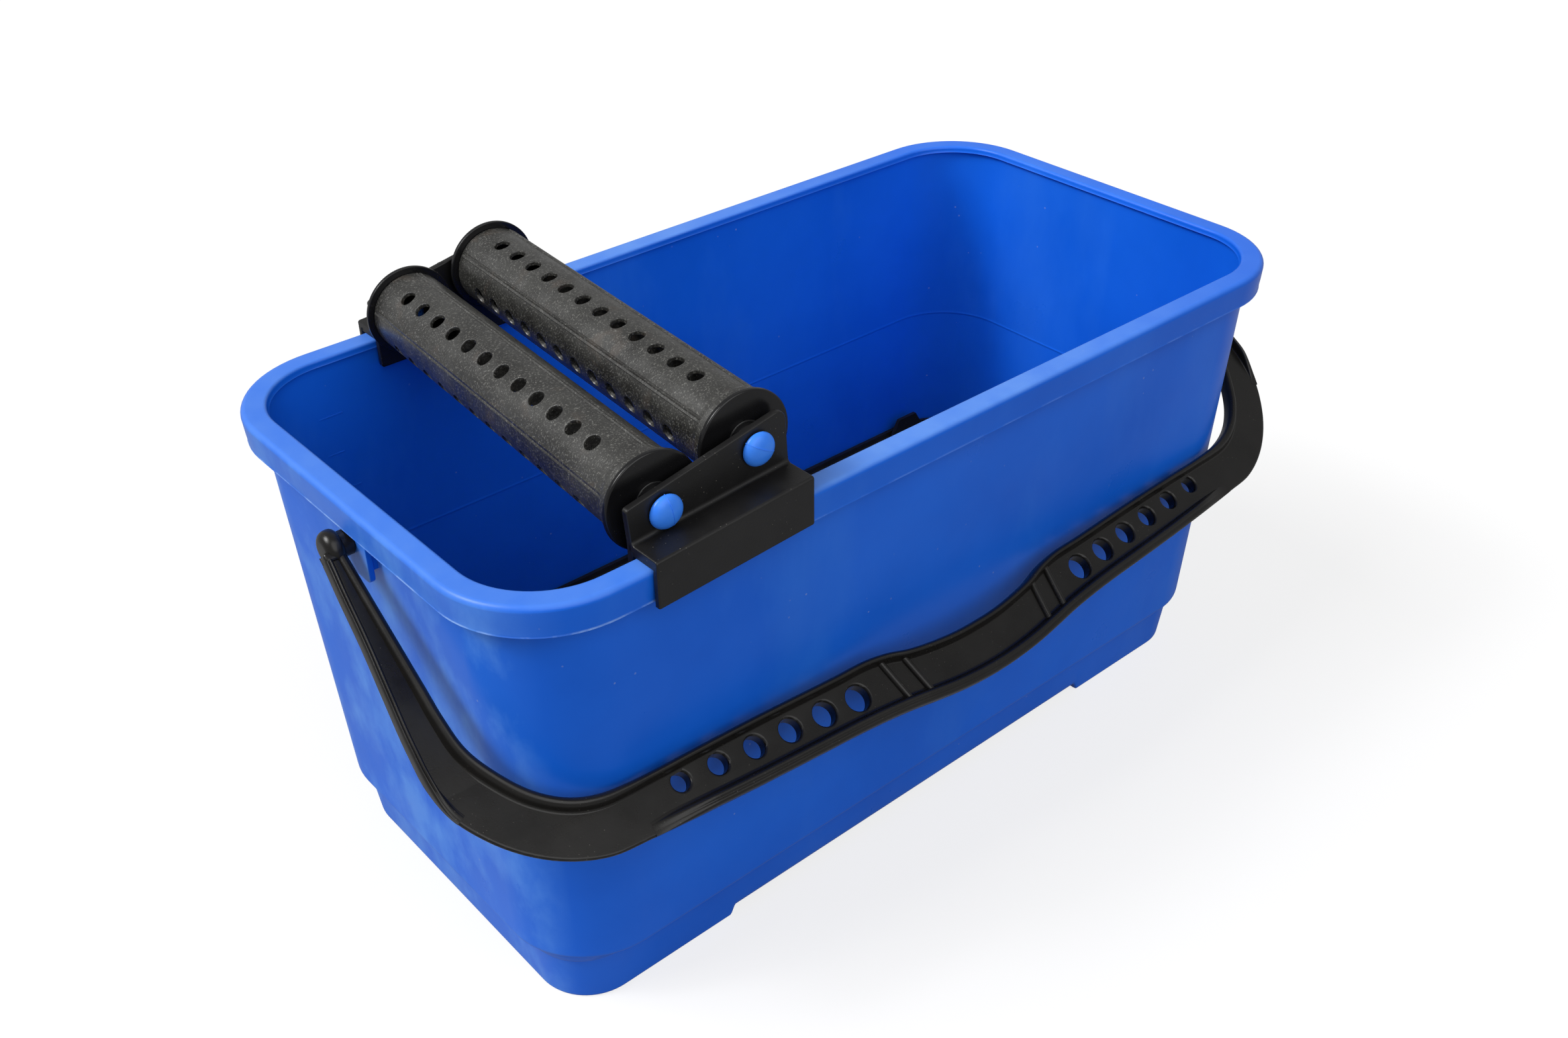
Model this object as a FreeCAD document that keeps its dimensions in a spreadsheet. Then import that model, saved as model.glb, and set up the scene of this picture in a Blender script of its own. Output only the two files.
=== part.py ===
import FreeCAD, Part
import math
import os

import Sketcher

# Wash bucket with a squeeze roller unit, in millimetres
#
# The frame: the origin is on the floor at the middle of the tub's base, +X runs along
# the tub's length, +Y across it and +Z up. The handle hangs on the -Y side.

# Driving sizes: name, value, meaning
SIZES = (
    ("overrun", 6.0, "how far a cutting tool runs past what it cuts"),
    # Tub rim
    ("rim_height", 268.0, "floor to the top of the rim"),
    ("rim_half_length", 267.5, "middle to the rim's outer edge along X"),
    ("rim_half_width", 137.3, "middle to the rim's outer edge along Y"),
    ("rim_corner_radius", 55.0, "outer corner of the rim seen from above"),
    ("rim_width", 12.95, "outer edge to the inner edge of the rim's flat top"),
    ("rim_top_thickness", 4.0, "thickness of the rim's flat top"),
    ("rim_edge_round", 2.6, "rounding of the rim's top outer edge"),
    ("rim_lip_round", 1.2, "rounding of the rim's top inner edge"),
    ("lip_depth", 3.0, "height of the lip that stands in from the inner wall"),
    ("skirt_depth", 16.2, "top of the rim to the lower edge of its skirt"),
    ("skirt_draft", 1.1, "how much further in the skirt's lower edge lies"),
    ("skirt_thickness", 3.0, "wall of the hanging skirt"),
    # Tub wall
    ("wall_thickness", 3.2, "wall and floor of the tub"),
    ("overhang_ends", 8.1, "rim edge to the wall's outer face at the rim, ends"),
    ("overhang_sides", 7.25, "rim edge to the wall's outer face at the rim, sides"),
    ("wall_lean", 9.5, "how much further in the wall's foot lies than its top"),
    ("wall_foot_height", 37.0, "floor to where the wall steps in to the base"),
    ("wall_corner_radius", 47.3, "outer corner of the wall seen from above"),
    # Tub base
    ("step_height", 6.0, "height of the slanted underside of the step"),
    ("step_ends", 7.2, "how far the base steps in at the ends"),
    ("step_sides", 9.1, "how far the base steps in at the sides"),
    ("step_round", 3.0, "rounding of the step's lower edge"),
    ("base_lean", 2.45, "how much further in the base's foot lies than its top"),
    ("base_corner_radius", 30.0, "outer corner of the base seen from above"),
    ("base_edge_round", 2.4, "rounding along the foot of the base"),
    ("ledge_height", 40.0, "floor to the inner ledge that carries the grid"),
    ("raise_height", 5.8, "how high the middle of the base is raised off the floor"),
    ("raise_half_length", 141.0, "middle to the foot of the raise's slanted end"),
    ("raise_slope", 4.0, "length of the raise's slanted end along X"),
    # Handle lug under each end of the rim
    ("pivot_height", 245.0, "floor to the handle's pivot"),
    ("lug_reach", 264.0, "middle of the tub to the lug's outer face"),
    ("lug_thickness", 3.0, "thickness of the lug's plate"),
    ("lug_half_width", 14.0, "pivot to the lug's upright edge"),
    ("lug_foot_drop", 17.5, "pivot to the lug's lower edge"),
    ("lug_corner_radius", 3.0, "lower corners of the lug"),
    ("lug_rib_thickness", 2.5, "ribs that tie the lug's plate to the wall"),
    ("lug_rib_place", 9.5, "pivot to the near face of a rib along Y"),
    ("lug_rib_drop", 12.0, "pivot to the lower edge of a rib"),
    # Roller brackets
    ("front_bracket_place", -152.4, "middle of the front bracket along X"),
    ("back_bracket_place", -134.7, "middle of the back bracket along X"),
    ("bracket_half_length", 43.5, "middle to the end of the bracket's shelf"),
    ("bracket_lip_gap", 0.85, "rim's inner edge to the upright plate"),
    ("bracket_skirt_gap", 0.4, "rim's outer edge to the bracket's skirt"),
    ("bracket_thickness", 3.5, "thickness of the upright plate and the shelf"),
    ("bracket_skirt_thickness", 3.2, "thickness of the bracket's skirt"),
    ("bracket_seat_gap", 0.2, "rim's top to the ribs that sit on it"),
    ("bracket_shelf_rise", 5.9, "rim's top to the shelf's top at its low end"),
    ("bracket_shelf_climb", 5.4, "how much the shelf climbs along its length"),
    ("bracket_skirt_depth", 18.1, "rim's top to the skirt's lower edge, low end"),
    ("bracket_skirt_climb", 4.2, "how much the skirt's lower edge climbs"),
    ("bracket_leg_depth", 14.5, "rim's top to the lower edge of the inner leg"),
    ("bracket_crown", 23.4, "rim's top to the plate's top corner, low end"),
    ("bracket_crown_climb", 16.0, "how much the plate's top climbs"),
    ("bracket_crown_overhang", 1.4, "how far the top corner leans past the shelf, low end"),
    ("bracket_crown_inset", 1.5, "how far the top corner stays inside the shelf, high end"),
    ("bracket_low_round", 1.5, "top corner of the plate, low end"),
    ("bracket_high_round", 4.5, "top corner of the plate, high end"),
    ("bracket_edge_round", 1.3, "rounding of the bracket's long outer edge"),
    ("seat_rib_thickness", 2.5, "ribs between the shelf and the rim's top"),
    ("pin_hole_gap", 0.4, "pin shank to its hole in the plate, all round"),
    # Rollers
    ("low_axis_height", 283.8, "floor to the axis of the left roller"),
    ("high_axis_height", 293.5, "floor to the axis of the right roller"),
    ("axis_half_spacing", 25.45, "middle of the bracket to each roller's axis along X"),
    ("shell_radius", 20.5, "outside of the roller's perforated shell"),
    ("shell_thickness", 2.0, "wall of the shell"),
    ("shell_collar_radius", 22.0, "flared collar at the shell's front end"),
    ("shell_collar_length", 4.0, "straight part of that collar"),
    ("shell_flare_length", 3.0, "length over which the collar runs out"),
    ("drain_hole_radius", 4.0, "hole through the shell"),
    ("drain_hole_pitch", 16.0, "distance between two holes of one row"),
    ("ridge_height", 0.7, "how far a ridge stands out of the shell"),
    ("ridge_width", 2.6, "width of a ridge"),
    ("ridge_end_gap", 2.0, "end of the ridge to the shell's end"),
    # Roller end caps
    ("disc_radius", 23.75, "end disc of the roller"),
    ("disc_thickness", 2.5, "thickness of the end disc"),
    ("disc_edge_round", 0.8, "rounding of the disc's edges"),
    ("plug_fit", 0.05, "cap's plug to the bore of the shell"),
    ("plug_length", 9.0, "how deep the plug goes into the shell"),
    ("plug_wall", 2.2, "wall of the plug"),
    ("hub_radius", 9.0, "hub between the disc and the bracket"),
    ("hub_length", 4.05, "disc to the outer end of the hub"),
    ("hub_gap", 0.95, "outer end of the hub to the bracket, on the axis"),
    # Push pins
    ("pin_shank_radius", 4.0, "shank of the push pin"),
    ("pin_fit", 0.04, "shank to the bore of the hub"),
    ("pin_head_radius", 8.2, "head of the push pin"),
    ("pin_head_height", 4.6, "height of the head's dome"),
    ("pin_head_gap", 0.95, "bracket to the underside of the head, on the axis"),
    ("pin_barb_radius", 4.9, "barb that holds the pin behind the cap"),
    ("pin_barb_length", 4.5, "length of the barb"),
    ("pin_tip_radius", 2.6, "tip of the barb"),
    ("pin_slot_width", 1.8, "slot that lets the barb close"),
    # Sediment grid
    ("grid_gap", 0.8, "tub's wall to the grid's skirt, all round"),
    ("grid_seat_gap", 0.3, "ledge to the lower edge of the grid's skirt"),
    ("grid_height", 29.7, "height of the grid"),
    ("grid_wall", 2.5, "wall of the grid's skirt"),
    ("grid_plate_thickness", 3.0, "thickness of the grid's deck"),
    ("grid_deck_drop", 3.0, "top of the skirt to the top of the deck"),
    ("grid_slot_length", 34.0, "slot through the deck along X"),
    ("grid_slot_width", 7.0, "slot through the deck along Y"),
    ("grid_bar", 6.0, "bar between two slots"),
    ("grid_tab_length", 16.0, "finger tab on the grid's rim"),
    ("grid_tab_height", 9.0, "how far the finger tab stands up"),
    ("grid_tab_place", 205.0, "middle of the grid to the middle of the tab"),
    ("grid_tab_inset", 4.4, "outside of the grid's skirt to the tab's outer face"),
    # Handle
    ("handle_arm_gap", 2.0, "rim's end face to the inside of the handle's arm"),
    ("handle_web", 3.0, "thickness of the handle's web"),
    ("handle_rail_height", 5.2, "how far the rails stand out of the web"),
    ("handle_rail_width", 3.4, "width of a rail"),
    ("handle_rest_gap", 0.3, "handle's back to the front wall where it rests"),
    ("handle_arm_width", 10.3, "arm of the handle at the pivot"),
    ("handle_elbow_width", 21.5, "arm of the handle where it meets the elbow"),
    ("handle_inner_reach", 156.9, "pivot to the bar's inner edge"),
    ("handle_bar_width", 33.0, "inner to outer edge of the bar beside the grip"),
    ("handle_grip_offset", 16.9, "how much further out the grip's inner edge lies"),
    ("handle_end_radius", 8.7, "round end of the arm above the pivot"),
    ("handle_end_round", 2.5, "rounding of that end's edges"),
    ("handle_hole_row", 177.4, "pivot to the line of holes beside the grip"),
    ("handle_hole_drop", 8.6, "how much nearer the pivot the outermost hole lies"),
    ("handle_hole_first", 83.2, "middle of the handle to the nearest hole"),
    ("handle_hole_pitch", 20.9, "distance between two holes"),
    ("handle_hole_wide", 6.7, "radius of the hole nearest the grip"),
    ("handle_hole_narrow", 4.8, "radius of the hole nearest the elbow"),
    ("handle_eye_length", 6.0, "pivot to where the arm's channel starts"),
    ("handle_fill_rise", 3.8, "how far the arm's web stands up at the pivot"),
    ("handle_fill_length", 125.0, "pivot to where the arm's web lies level"),
    ("handle_elbow_start", 208.0, "middle to where the outer rail runs out"),
    ("handle_rib_near", 47.0, "middle to the nearer rib at the inner edge"),
    ("handle_rib_far", 60.5, "middle to the farther rib at the inner edge"),
    ("handle_rib_lean", 9.0, "how far a rib leans towards the middle"),
    ("handle_rib_width", 3.4, "rib across the web beside the grip"),
    ("handle_rib_height", 2.2, "how far such a rib stands out of the web"),
    ("peg_radius", 5.0, "peg that turns in the lug"),
    ("peg_gap", 0.1, "peg to the hole in the lug, all round"),
    ("flange_radius", 6.2, "collar between the arm and the lug"),
    ("flange_gap", 0.3, "collar to the lug's outer face"),
    ("snap_radius", 6.8, "snap head behind the lug"),
    ("snap_thickness", 1.5, "thickness of the snap head"),
    ("snap_gap", 0.3, "snap head to the lug's inner face"),
)

# Counts that are not lengths
DRAIN_HOLES = 12
HOLE_ROWS = 4
GRID_COLUMNS = 11
GRID_ROWS = 16
HANDLE_HOLES = 6
OFFSET_SAMPLES = 120

# A rounded edge is drawn with one more ring, this share of the radius from both faces
BEVEL_SHARE = 0.293

# An edge counts as found when it lies this share of a rounding's radius from its place
NEAR_SHARE = 0.01

# Angles in degrees
LEFT_ROW_ANGLE = 118.0
RIGHT_ROW_ANGLE = 101.0

# The handle's edges from its middle to its arm, as shares chosen by hand. Along X they are
# shares of the half width inside or outside the arms.
# Grip and bar, inner edge: share of the grip's offset past the bar's inner reach
GRIP_INNER_SHARES = (
    (0.0, 1.0), (0.045, 0.985), (0.11, 0.88), (0.17, 0.705), (0.21, 0.515), (0.25, 0.4),
    (0.335, 0.337), (0.53, 0.183), (0.66, 0.112), (0.73, 0.083), (0.79, 0.024),
)
# Elbow, inner edge: share of the bar's inner reach
ELBOW_INNER_SHARES = (
    (0.835, 0.992), (0.887, 0.958), (0.93, 0.899), (0.969, 0.802), (0.994, 0.701), (1.0, 0.595),
    (1.0, 0.489),
)
# Grip and bar, outer edge: share of the bar's width past the inner reach
GRIP_OUTER_SHARES = (
    (0.0, 1.379), (0.096, 1.333), (0.156, 1.261), (0.203, 1.197), (0.265, 1.136), (0.33, 1.091),
    (0.4, 1.055), (0.52, 0.991), (0.65, 0.903), (0.735, 0.836),
)
# Elbow and arm, outer edge: share of the bar's inner reach
ELBOW_OUTER_SHARES = (
    (0.806, 1.16), (0.869, 1.11), (0.928, 1.024), (0.967, 0.932), (0.99, 0.849), (1.0, 0.75),
)
ARM_FLARE_SHARES = ((0.93, 0.631), (0.67, 0.465), (0.39, 0.3), (0.17, 0.13), (0.04, 0.045))

doc = FreeCAD.newDocument("Bucket")
sheet = doc.addObject("Spreadsheet::Sheet", "Sizes")
VALUES = {}


def add_size(name, value, meaning):
    """Write one size on the sheet under its name."""
    row = str(len(VALUES) + 1)
    sheet.set("A" + row, meaning)
    sheet.set("B" + row, str(value))
    sheet.setAlias("B" + row, name)
    VALUES[name] = value


def number(formula):
    """Work out a sum of sizes such as 'rim_height - 0.5*rim_width'."""
    total = 0.0
    sign = 1.0
    for word in formula.split():
        if word in ("+", "-"):
            sign = 1.0 if word == "+" else -1.0
            continue
        term = sign
        for factor in word.split("*"):
            term *= VALUES[factor] if factor in VALUES else float(factor)
        total += term
    return total


def bound(formula):
    """The same sum as an expression on the sheet."""
    words = []
    for word in formula.split():
        factors = []
        for factor in word.split("*"):
            factors.append("Sizes." + factor if factor in VALUES else factor)
        words.append(" * ".join(factors))
    return " ".join(words)


for size_name, size_value, size_meaning in SIZES:
    add_size(size_name, size_value, size_meaning)

# Sizes that follow from the driving ones
plate_outer_face = number("rim_half_width - rim_width - bracket_lip_gap")
add_size("plate_inner_face", plate_outer_face - number("bracket_thickness"), "tub's middle to the plate's inner face")
axis_run = number("back_bracket_place - front_bracket_place")
plate_middle = number("plate_inner_face + 0.5*bracket_thickness")
roller_skew = math.atan2(axis_run, 2 * plate_middle)
add_size("axis_half_gap", number("plate_inner_face") / math.cos(roller_skew), "roller's middle to the plate")
add_size(
    "axis_half_reach", plate_outer_face / math.cos(roller_skew), "roller's middle to the plate's outer face"
)
doc.recompute()


# Building blocks

def make_body(name):
    body = doc.addObject("PartDesign::Body", name)
    body.Label = name
    return body


def make_sketch(body, name, plane, level="0", turn=0):
    """A sketch on one of the body's planes, moved along its normal and turned in degrees."""
    sketch = body.newObject("Sketcher::SketchObject", name)
    for feature in body.Origin.OriginFeatures:
        if feature.Role == plane:
            sketch.AttachmentSupport = [(feature, "")]
    sketch.MapMode = "FlatFace"
    sketch.AttachmentOffset = FreeCAD.Placement(
        FreeCAD.Vector(0, 0, number(level)), FreeCAD.Rotation(FreeCAD.Vector(0, 0, 1), turn)
    )
    sketch.setExpression("AttachmentOffset.Base.z", bound(level))
    return sketch


def pin_down(sketch, kind, *where_and_formula):
    """Add a dimension whose value is a formula on the sheet."""
    *where, formula = where_and_formula
    index = sketch.addConstraint(Sketcher.Constraint(kind, *where, number(formula)))
    sketch.setExpression("Constraints[%d]" % index, bound(formula))


def rounded_rectangle(body, name, level, half_length, half_width, radius):
    """A rounded rectangle about the Z axis; sizes and level are formulas."""
    sketch = make_sketch(body, name, "XY_Plane", level)
    far_x = number(half_length)
    far_y = number(half_width)
    turn = number(radius)
    near_x = far_x - turn
    near_y = far_y - turn
    sides = (
        ((-near_x, -far_y), (near_x, -far_y), (near_x, -near_y)),
        ((far_x, -near_y), (far_x, near_y), (near_x, near_y)),
        ((near_x, far_y), (-near_x, far_y), (-near_x, near_y)),
        ((-far_x, near_y), (-far_x, -near_y), (-near_x, -near_y)),
    )
    for quarter, (start, end, centre) in enumerate(sides):
        sketch.addGeometry(Part.LineSegment(FreeCAD.Vector(*start, 0), FreeCAD.Vector(*end, 0)))
        circle = Part.Circle(FreeCAD.Vector(*centre, 0), FreeCAD.Vector(0, 0, 1), turn)
        first_angle = math.radians(90 * (quarter - 1))
        sketch.addGeometry(Part.ArcOfCircle(circle, first_angle, first_angle + math.radians(90)))
    for edge in range(8):
        sketch.addConstraint(Sketcher.Constraint("Tangent", edge, 2, (edge + 1) % 8, 1))
    for edge, direction in ((0, "Horizontal"), (2, "Vertical"), (4, "Horizontal"), (6, "Vertical")):
        sketch.addConstraint(Sketcher.Constraint(direction, edge))
    for edge in (3, 5, 7):
        sketch.addConstraint(Sketcher.Constraint("Equal", 1, edge))
    sketch.addConstraint(Sketcher.Constraint("Symmetric", 0, 1, 4, 1, -1, 1))
    pin_down(sketch, "Radius", 1, radius)
    pin_down(sketch, "DistanceX", -1, 1, 2, 1, half_length)
    pin_down(sketch, "DistanceY", -1, 1, 4, 1, half_width)
    return sketch


def polygon(body, name, plane, level, points, turn=0):
    """A closed outline whose corners are pairs of formulas."""
    sketch = make_sketch(body, name, plane, level, turn)
    places = [FreeCAD.Vector(number(x), number(y), 0) for x, y in points]
    count = len(points)
    for corner in range(count):
        sketch.addGeometry(Part.LineSegment(places[corner], places[(corner + 1) % count]))
    for corner in range(count):
        sketch.addConstraint(Sketcher.Constraint("Coincident", corner, 2, (corner + 1) % count, 1))
    for corner, (x, y) in enumerate(points):
        pin_down(sketch, "DistanceX", -1, 1, corner, 1, x)
        pin_down(sketch, "DistanceY", -1, 1, corner, 1, y)
    return sketch


def circle(body, name, plane, level, centre, radius):
    """One circle; its centre is a pair of formulas."""
    sketch = make_sketch(body, name, plane, level)
    middle = FreeCAD.Vector(number(centre[0]), number(centre[1]), 0)
    sketch.addGeometry(Part.Circle(middle, FreeCAD.Vector(0, 0, 1), number(radius)))
    pin_down(sketch, "DistanceX", -1, 1, 0, 3, centre[0])
    pin_down(sketch, "DistanceY", -1, 1, 0, 3, centre[1])
    pin_down(sketch, "Radius", 0, radius)
    return sketch


def rings(body, kind, name, levels):
    """A loft through rounded rectangles: level, half length, half width, corner, change."""
    sketches = []
    for index, (level, length, width, corner, change) in enumerate(levels):
        ring = name + "Ring" + str(index)
        change_corner = change.replace(" - base_lean", "")
        sketches.append(
            rounded_rectangle(body, ring, level, length + change, width + change, corner + change_corner)
        )
    feature = body.newObject("PartDesign::" + kind, name)
    feature.Profile = sketches[0]
    feature.Sections = sketches[1:]
    feature.Ruled = True
    return feature


def pad(body, name, sketch, length, reverse=False):
    feature = body.newObject("PartDesign::Pad", name)
    feature.Profile = sketch
    feature.Reversed = reverse
    feature.setExpression("Length", bound(length))
    return feature


def pocket(body, name, sketch, length, reverse=False, midplane=False):
    feature = body.newObject("PartDesign::Pocket", name)
    feature.Profile = sketch
    feature.Reversed = reverse
    feature.Midplane = midplane
    feature.setExpression("Length", bound(length))
    return feature


def revolve(body, name, sketch):
    """Turn a profile about the body's Z axis."""
    feature = body.newObject("PartDesign::Revolution", name)
    feature.Profile = sketch
    feature.ReferenceAxis = (sketch, ["V_Axis"])
    feature.Angle = 360
    return feature


def edges_where(body, wanted):
    """Names of the body's edges whose ends and middle all pass the test."""
    doc.recompute()
    names = []
    for index, edge in enumerate(body.Shape.Edges):
        middle = edge.valueAt((edge.FirstParameter + edge.LastParameter) / 2)
        spots = [middle] + [corner.Point for corner in edge.Vertexes]
        if all(wanted(spot) for spot in spots):
            names.append("Edge%d" % (index + 1))
    return names


def fillet(body, name, wanted, radius):
    """Round the edges that pass the test."""
    base = body.Tip
    names = edges_where(body, wanted)
    feature = body.newObject("PartDesign::Fillet", name)
    feature.Base = (base, names)
    feature.setExpression("Radius", bound(radius))
    return feature


def at_level(level):
    """A test for points at one height."""
    height = number(level)
    return lambda spot: abs(spot.z - height) < number("rim_lip_round") * NEAR_SHARE


def both(first, second):
    return lambda spot: first(spot) and second(spot)


def near_line(formula_x, formula_z):
    """A test for points on a line along Y."""
    near = number("rim_lip_round") * NEAR_SHARE
    return lambda spot: (
        abs(spot.x - number(formula_x)) < near and abs(spot.z - number(formula_z)) < near
    )


def origin_feature(body, role):
    for feature in body.Origin.OriginFeatures:
        if feature.Role == role:
            return feature
    raise ValueError(role)


def pattern(body, name, features, rows):
    """Repeat features along or about the body's axes; rows holds tuples of kind and data."""
    steps = []
    for index, (kind, role, copies, extent) in enumerate(rows):
        step = body.newObject("PartDesign::" + kind, name + kind + str(index))
        if kind == "PolarPattern":
            step.Axis = (origin_feature(body, role), [""])
            step.Angle = 360
        else:
            step.Direction = (origin_feature(body, role), [""])
            step.setExpression("Length", bound(extent))
        step.Occurrences = copies
        steps.append(step)
    if len(steps) == 1:
        steps[0].Originals = features
        body.Tip = steps[0]
        return steps[0]
    many = body.newObject("PartDesign::MultiTransform", name)
    many.Originals = features
    many.Transformations = steps
    body.Tip = many
    return many


# Tub

WALL_HALF_LENGTH = "rim_half_length - overhang_ends"
WALL_HALF_WIDTH = "rim_half_width - overhang_sides"
FOOT_HALF_LENGTH = WALL_HALF_LENGTH + " - wall_lean"
FOOT_HALF_WIDTH = WALL_HALF_WIDTH + " - wall_lean"
BASE_HALF_LENGTH = FOOT_HALF_LENGTH + " - step_ends"
BASE_HALF_WIDTH = FOOT_HALF_WIDTH + " - step_sides"


def make_tub():
    body = make_body("tub")
    make_rim(body)
    make_wall_and_base(body)
    hollow_tub(body)
    raise_base(body)
    make_lugs(body)
    return body


def make_rim(body):
    """A drafted block with a rounded top edge, hollow underneath: a skirt hangs from it."""
    length = "rim_half_length"
    width = "rim_half_width"
    corner = "rim_corner_radius"
    rings(
        body, "AdditiveLoft", "RimBlock",
        (("rim_height - skirt_depth", length, width, corner, " - skirt_draft"),
         ("rim_height - rim_edge_round", length, width, corner, ""),
         ("rim_height - %s*rim_edge_round" % BEVEL_SHARE, length, width, corner,
          " - %s*rim_edge_round" % BEVEL_SHARE),
         ("rim_height", length, width, corner, " - rim_edge_round")),
    )
    inside = " - skirt_draft - skirt_thickness"
    hollow = rounded_rectangle(
        body, "RimHollowOutline", "rim_height - skirt_depth", length + inside, width + inside,
        corner + inside,
    )
    pocket(body, "RimHollow", hollow, "skirt_depth - rim_top_thickness", reverse=True)


def make_wall_and_base(body):
    """The wall leans in to its foot, steps in round a bend and goes down to the base."""
    foot = "wall_foot_height"
    wall = (FOOT_HALF_LENGTH, FOOT_HALF_WIDTH, "wall_corner_radius")
    base = (BASE_HALF_LENGTH, BASE_HALF_WIDTH, "base_corner_radius")
    rings(
        body, "AdditiveLoft", "Wall",
        ((foot + " - step_height",) + base + ("",),
         (foot,) + wall + (" - step_round",),
         (foot + " + %s*step_round" % BEVEL_SHARE,) + wall + (" - %s*step_round" % BEVEL_SHARE,),
         (foot + " + step_round",) + wall + ("",),
         ("rim_height - 0.5*rim_top_thickness", WALL_HALF_LENGTH, WALL_HALF_WIDTH,
          "wall_corner_radius", "")),
    )
    rings(
        body, "AdditiveLoft", "Base",
        (("0",) + base + (" - base_lean - base_edge_round",),
         ("%s*base_edge_round" % BEVEL_SHARE,) + base
         + (" - base_lean - %s*base_edge_round" % BEVEL_SHARE,),
         ("base_edge_round",) + base + (" - base_lean",),
         (foot + " - step_height",) + base + ("",)),
    )


def hollow_tub(body):
    """The room inside: base, wall and the mouth, which the lip narrows a little."""
    thinner = " - wall_thickness"
    base = (BASE_HALF_LENGTH, BASE_HALF_WIDTH, "base_corner_radius")
    rings(
        body, "SubtractiveLoft", "BaseHollow",
        (("wall_thickness",) + base + (" - base_lean - base_edge_round" + thinner,),
         ("wall_thickness + base_edge_round",) + base + (" - base_lean" + thinner,),
         ("ledge_height",) + base + (thinner,)),
    )
    rings(
        body, "SubtractiveLoft", "WallHollow",
        (("ledge_height", FOOT_HALF_LENGTH, FOOT_HALF_WIDTH, "wall_corner_radius", thinner),
         ("rim_height - lip_depth", WALL_HALF_LENGTH, WALL_HALF_WIDTH, "wall_corner_radius",
          thinner)),
    )
    mouth = ("rim_half_length", "rim_half_width", "rim_corner_radius")
    rings(
        body, "SubtractiveLoft", "Mouth",
        (("rim_height - 2*lip_depth",) + mouth + (" - rim_width",),
         ("rim_height - rim_lip_round",) + mouth + (" - rim_width",),
         ("rim_height",) + mouth + (" - rim_width + rim_lip_round",),
         ("rim_height + overrun",) + mouth + (" - rim_width + rim_lip_round",)),
    )


def raise_base(body):
    """The middle of the base is raised off the floor, and the floor inside follows it."""
    hump = polygon(
        body, "HumpProfile", "XZ_Plane", "0",
        (
            ("raise_half_length + wall_thickness", "0.5*wall_thickness"),
            ("raise_half_length + wall_thickness - raise_slope", "raise_height + wall_thickness"),
            ("raise_slope - raise_half_length - wall_thickness", "raise_height + wall_thickness"),
            ("0 - raise_half_length - wall_thickness", "0.5*wall_thickness"),
        ),
    )
    hump_pad = pad(
        body, "Hump", hump,
        "2*rim_half_width - 2*overhang_sides - 2*wall_lean - 2*step_sides - 2*base_lean"
        " - wall_thickness",
    )
    hump_pad.Midplane = True
    tunnel = polygon(
        body, "TunnelProfile", "XZ_Plane", "0",
        (
            ("raise_half_length", "0"),
            ("raise_half_length - raise_slope", "raise_height"),
            ("raise_slope - raise_half_length", "raise_height"),
            ("0 - raise_half_length", "0"),
            ("0 - raise_half_length", "0 - overrun"),
            ("raise_half_length", "0 - overrun"),
        ),
    )
    pocket(body, "Tunnel", tunnel, "2*rim_half_width", midplane=True)


def make_lug_ribs(body):
    """Two ribs, one on each side of the pivot, from the wall to the plate."""
    start = WALL_HALF_LENGTH + " - wall_thickness"
    reach = "lug_reach - lug_thickness - rim_half_length + overhang_ends + wall_thickness"
    top = "rim_height - 0.5*rim_top_thickness"
    foot = "pivot_height - lug_rib_drop"
    ribs = []
    for side in ("Front", "Back"):
        near = ("0 - " if side == "Front" else "0 + ") + "lug_rib_place"
        far = near + (" - " if side == "Front" else " + ") + "lug_rib_thickness"
        outline = polygon(
            body, "LugRib" + side + "Outline", "YZ_Plane", start,
            ((near, foot), (far, foot), (far, top), (near, top)),
        )
        ribs.append(pad(body, "LugRib" + side, outline, reach))
    return ribs


def make_lugs(body):
    """Under each end of the rim hangs a plate with rounded lower corners for the handle's peg."""
    level = "lug_reach - lug_thickness"
    top = "rim_height - 0.5*rim_top_thickness"
    foot = "pivot_height - lug_foot_drop"
    corner = foot + " + lug_corner_radius"
    front = "lug_corner_radius - lug_half_width"
    back = "lug_half_width - lug_corner_radius"
    plate = polygon(
        body, "LugPlateOutline", "YZ_Plane", level,
        (("0 - lug_half_width", corner), ("lug_half_width", corner),
         ("lug_half_width", top), ("0 - lug_half_width", top)),
    )
    low_edge = polygon(
        body, "LugFootOutline", "YZ_Plane", level,
        ((front, foot), (back, foot), (back, corner), (front, corner)),
    )
    parts = [
        pad(body, "LugPlate", plate, "lug_thickness"),
        pad(body, "LugFoot", low_edge, "lug_thickness"),
    ]
    for side, middle in (("Front", front), ("Back", back)):
        turn = circle(
            body, "LugCorner" + side + "Outline", "YZ_Plane", level, (middle, corner),
            "lug_corner_radius",
        )
        parts.append(pad(body, "LugCorner" + side, turn, "lug_thickness"))
    parts += make_lug_ribs(body)
    hole = circle(
        body, "PegHoleOutline", "YZ_Plane", "lug_reach", ("0", "pivot_height"),
        "peg_radius + peg_gap",
    )
    parts.append(pocket(body, "PegHole", hole, "lug_thickness"))
    mirror = body.newObject("PartDesign::Mirrored", "OtherLug")
    mirror.Originals = parts
    mirror.MirrorPlane = (origin_feature(body, "YZ_Plane"), [""])
    body.Tip = mirror


# Roller brackets

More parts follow.
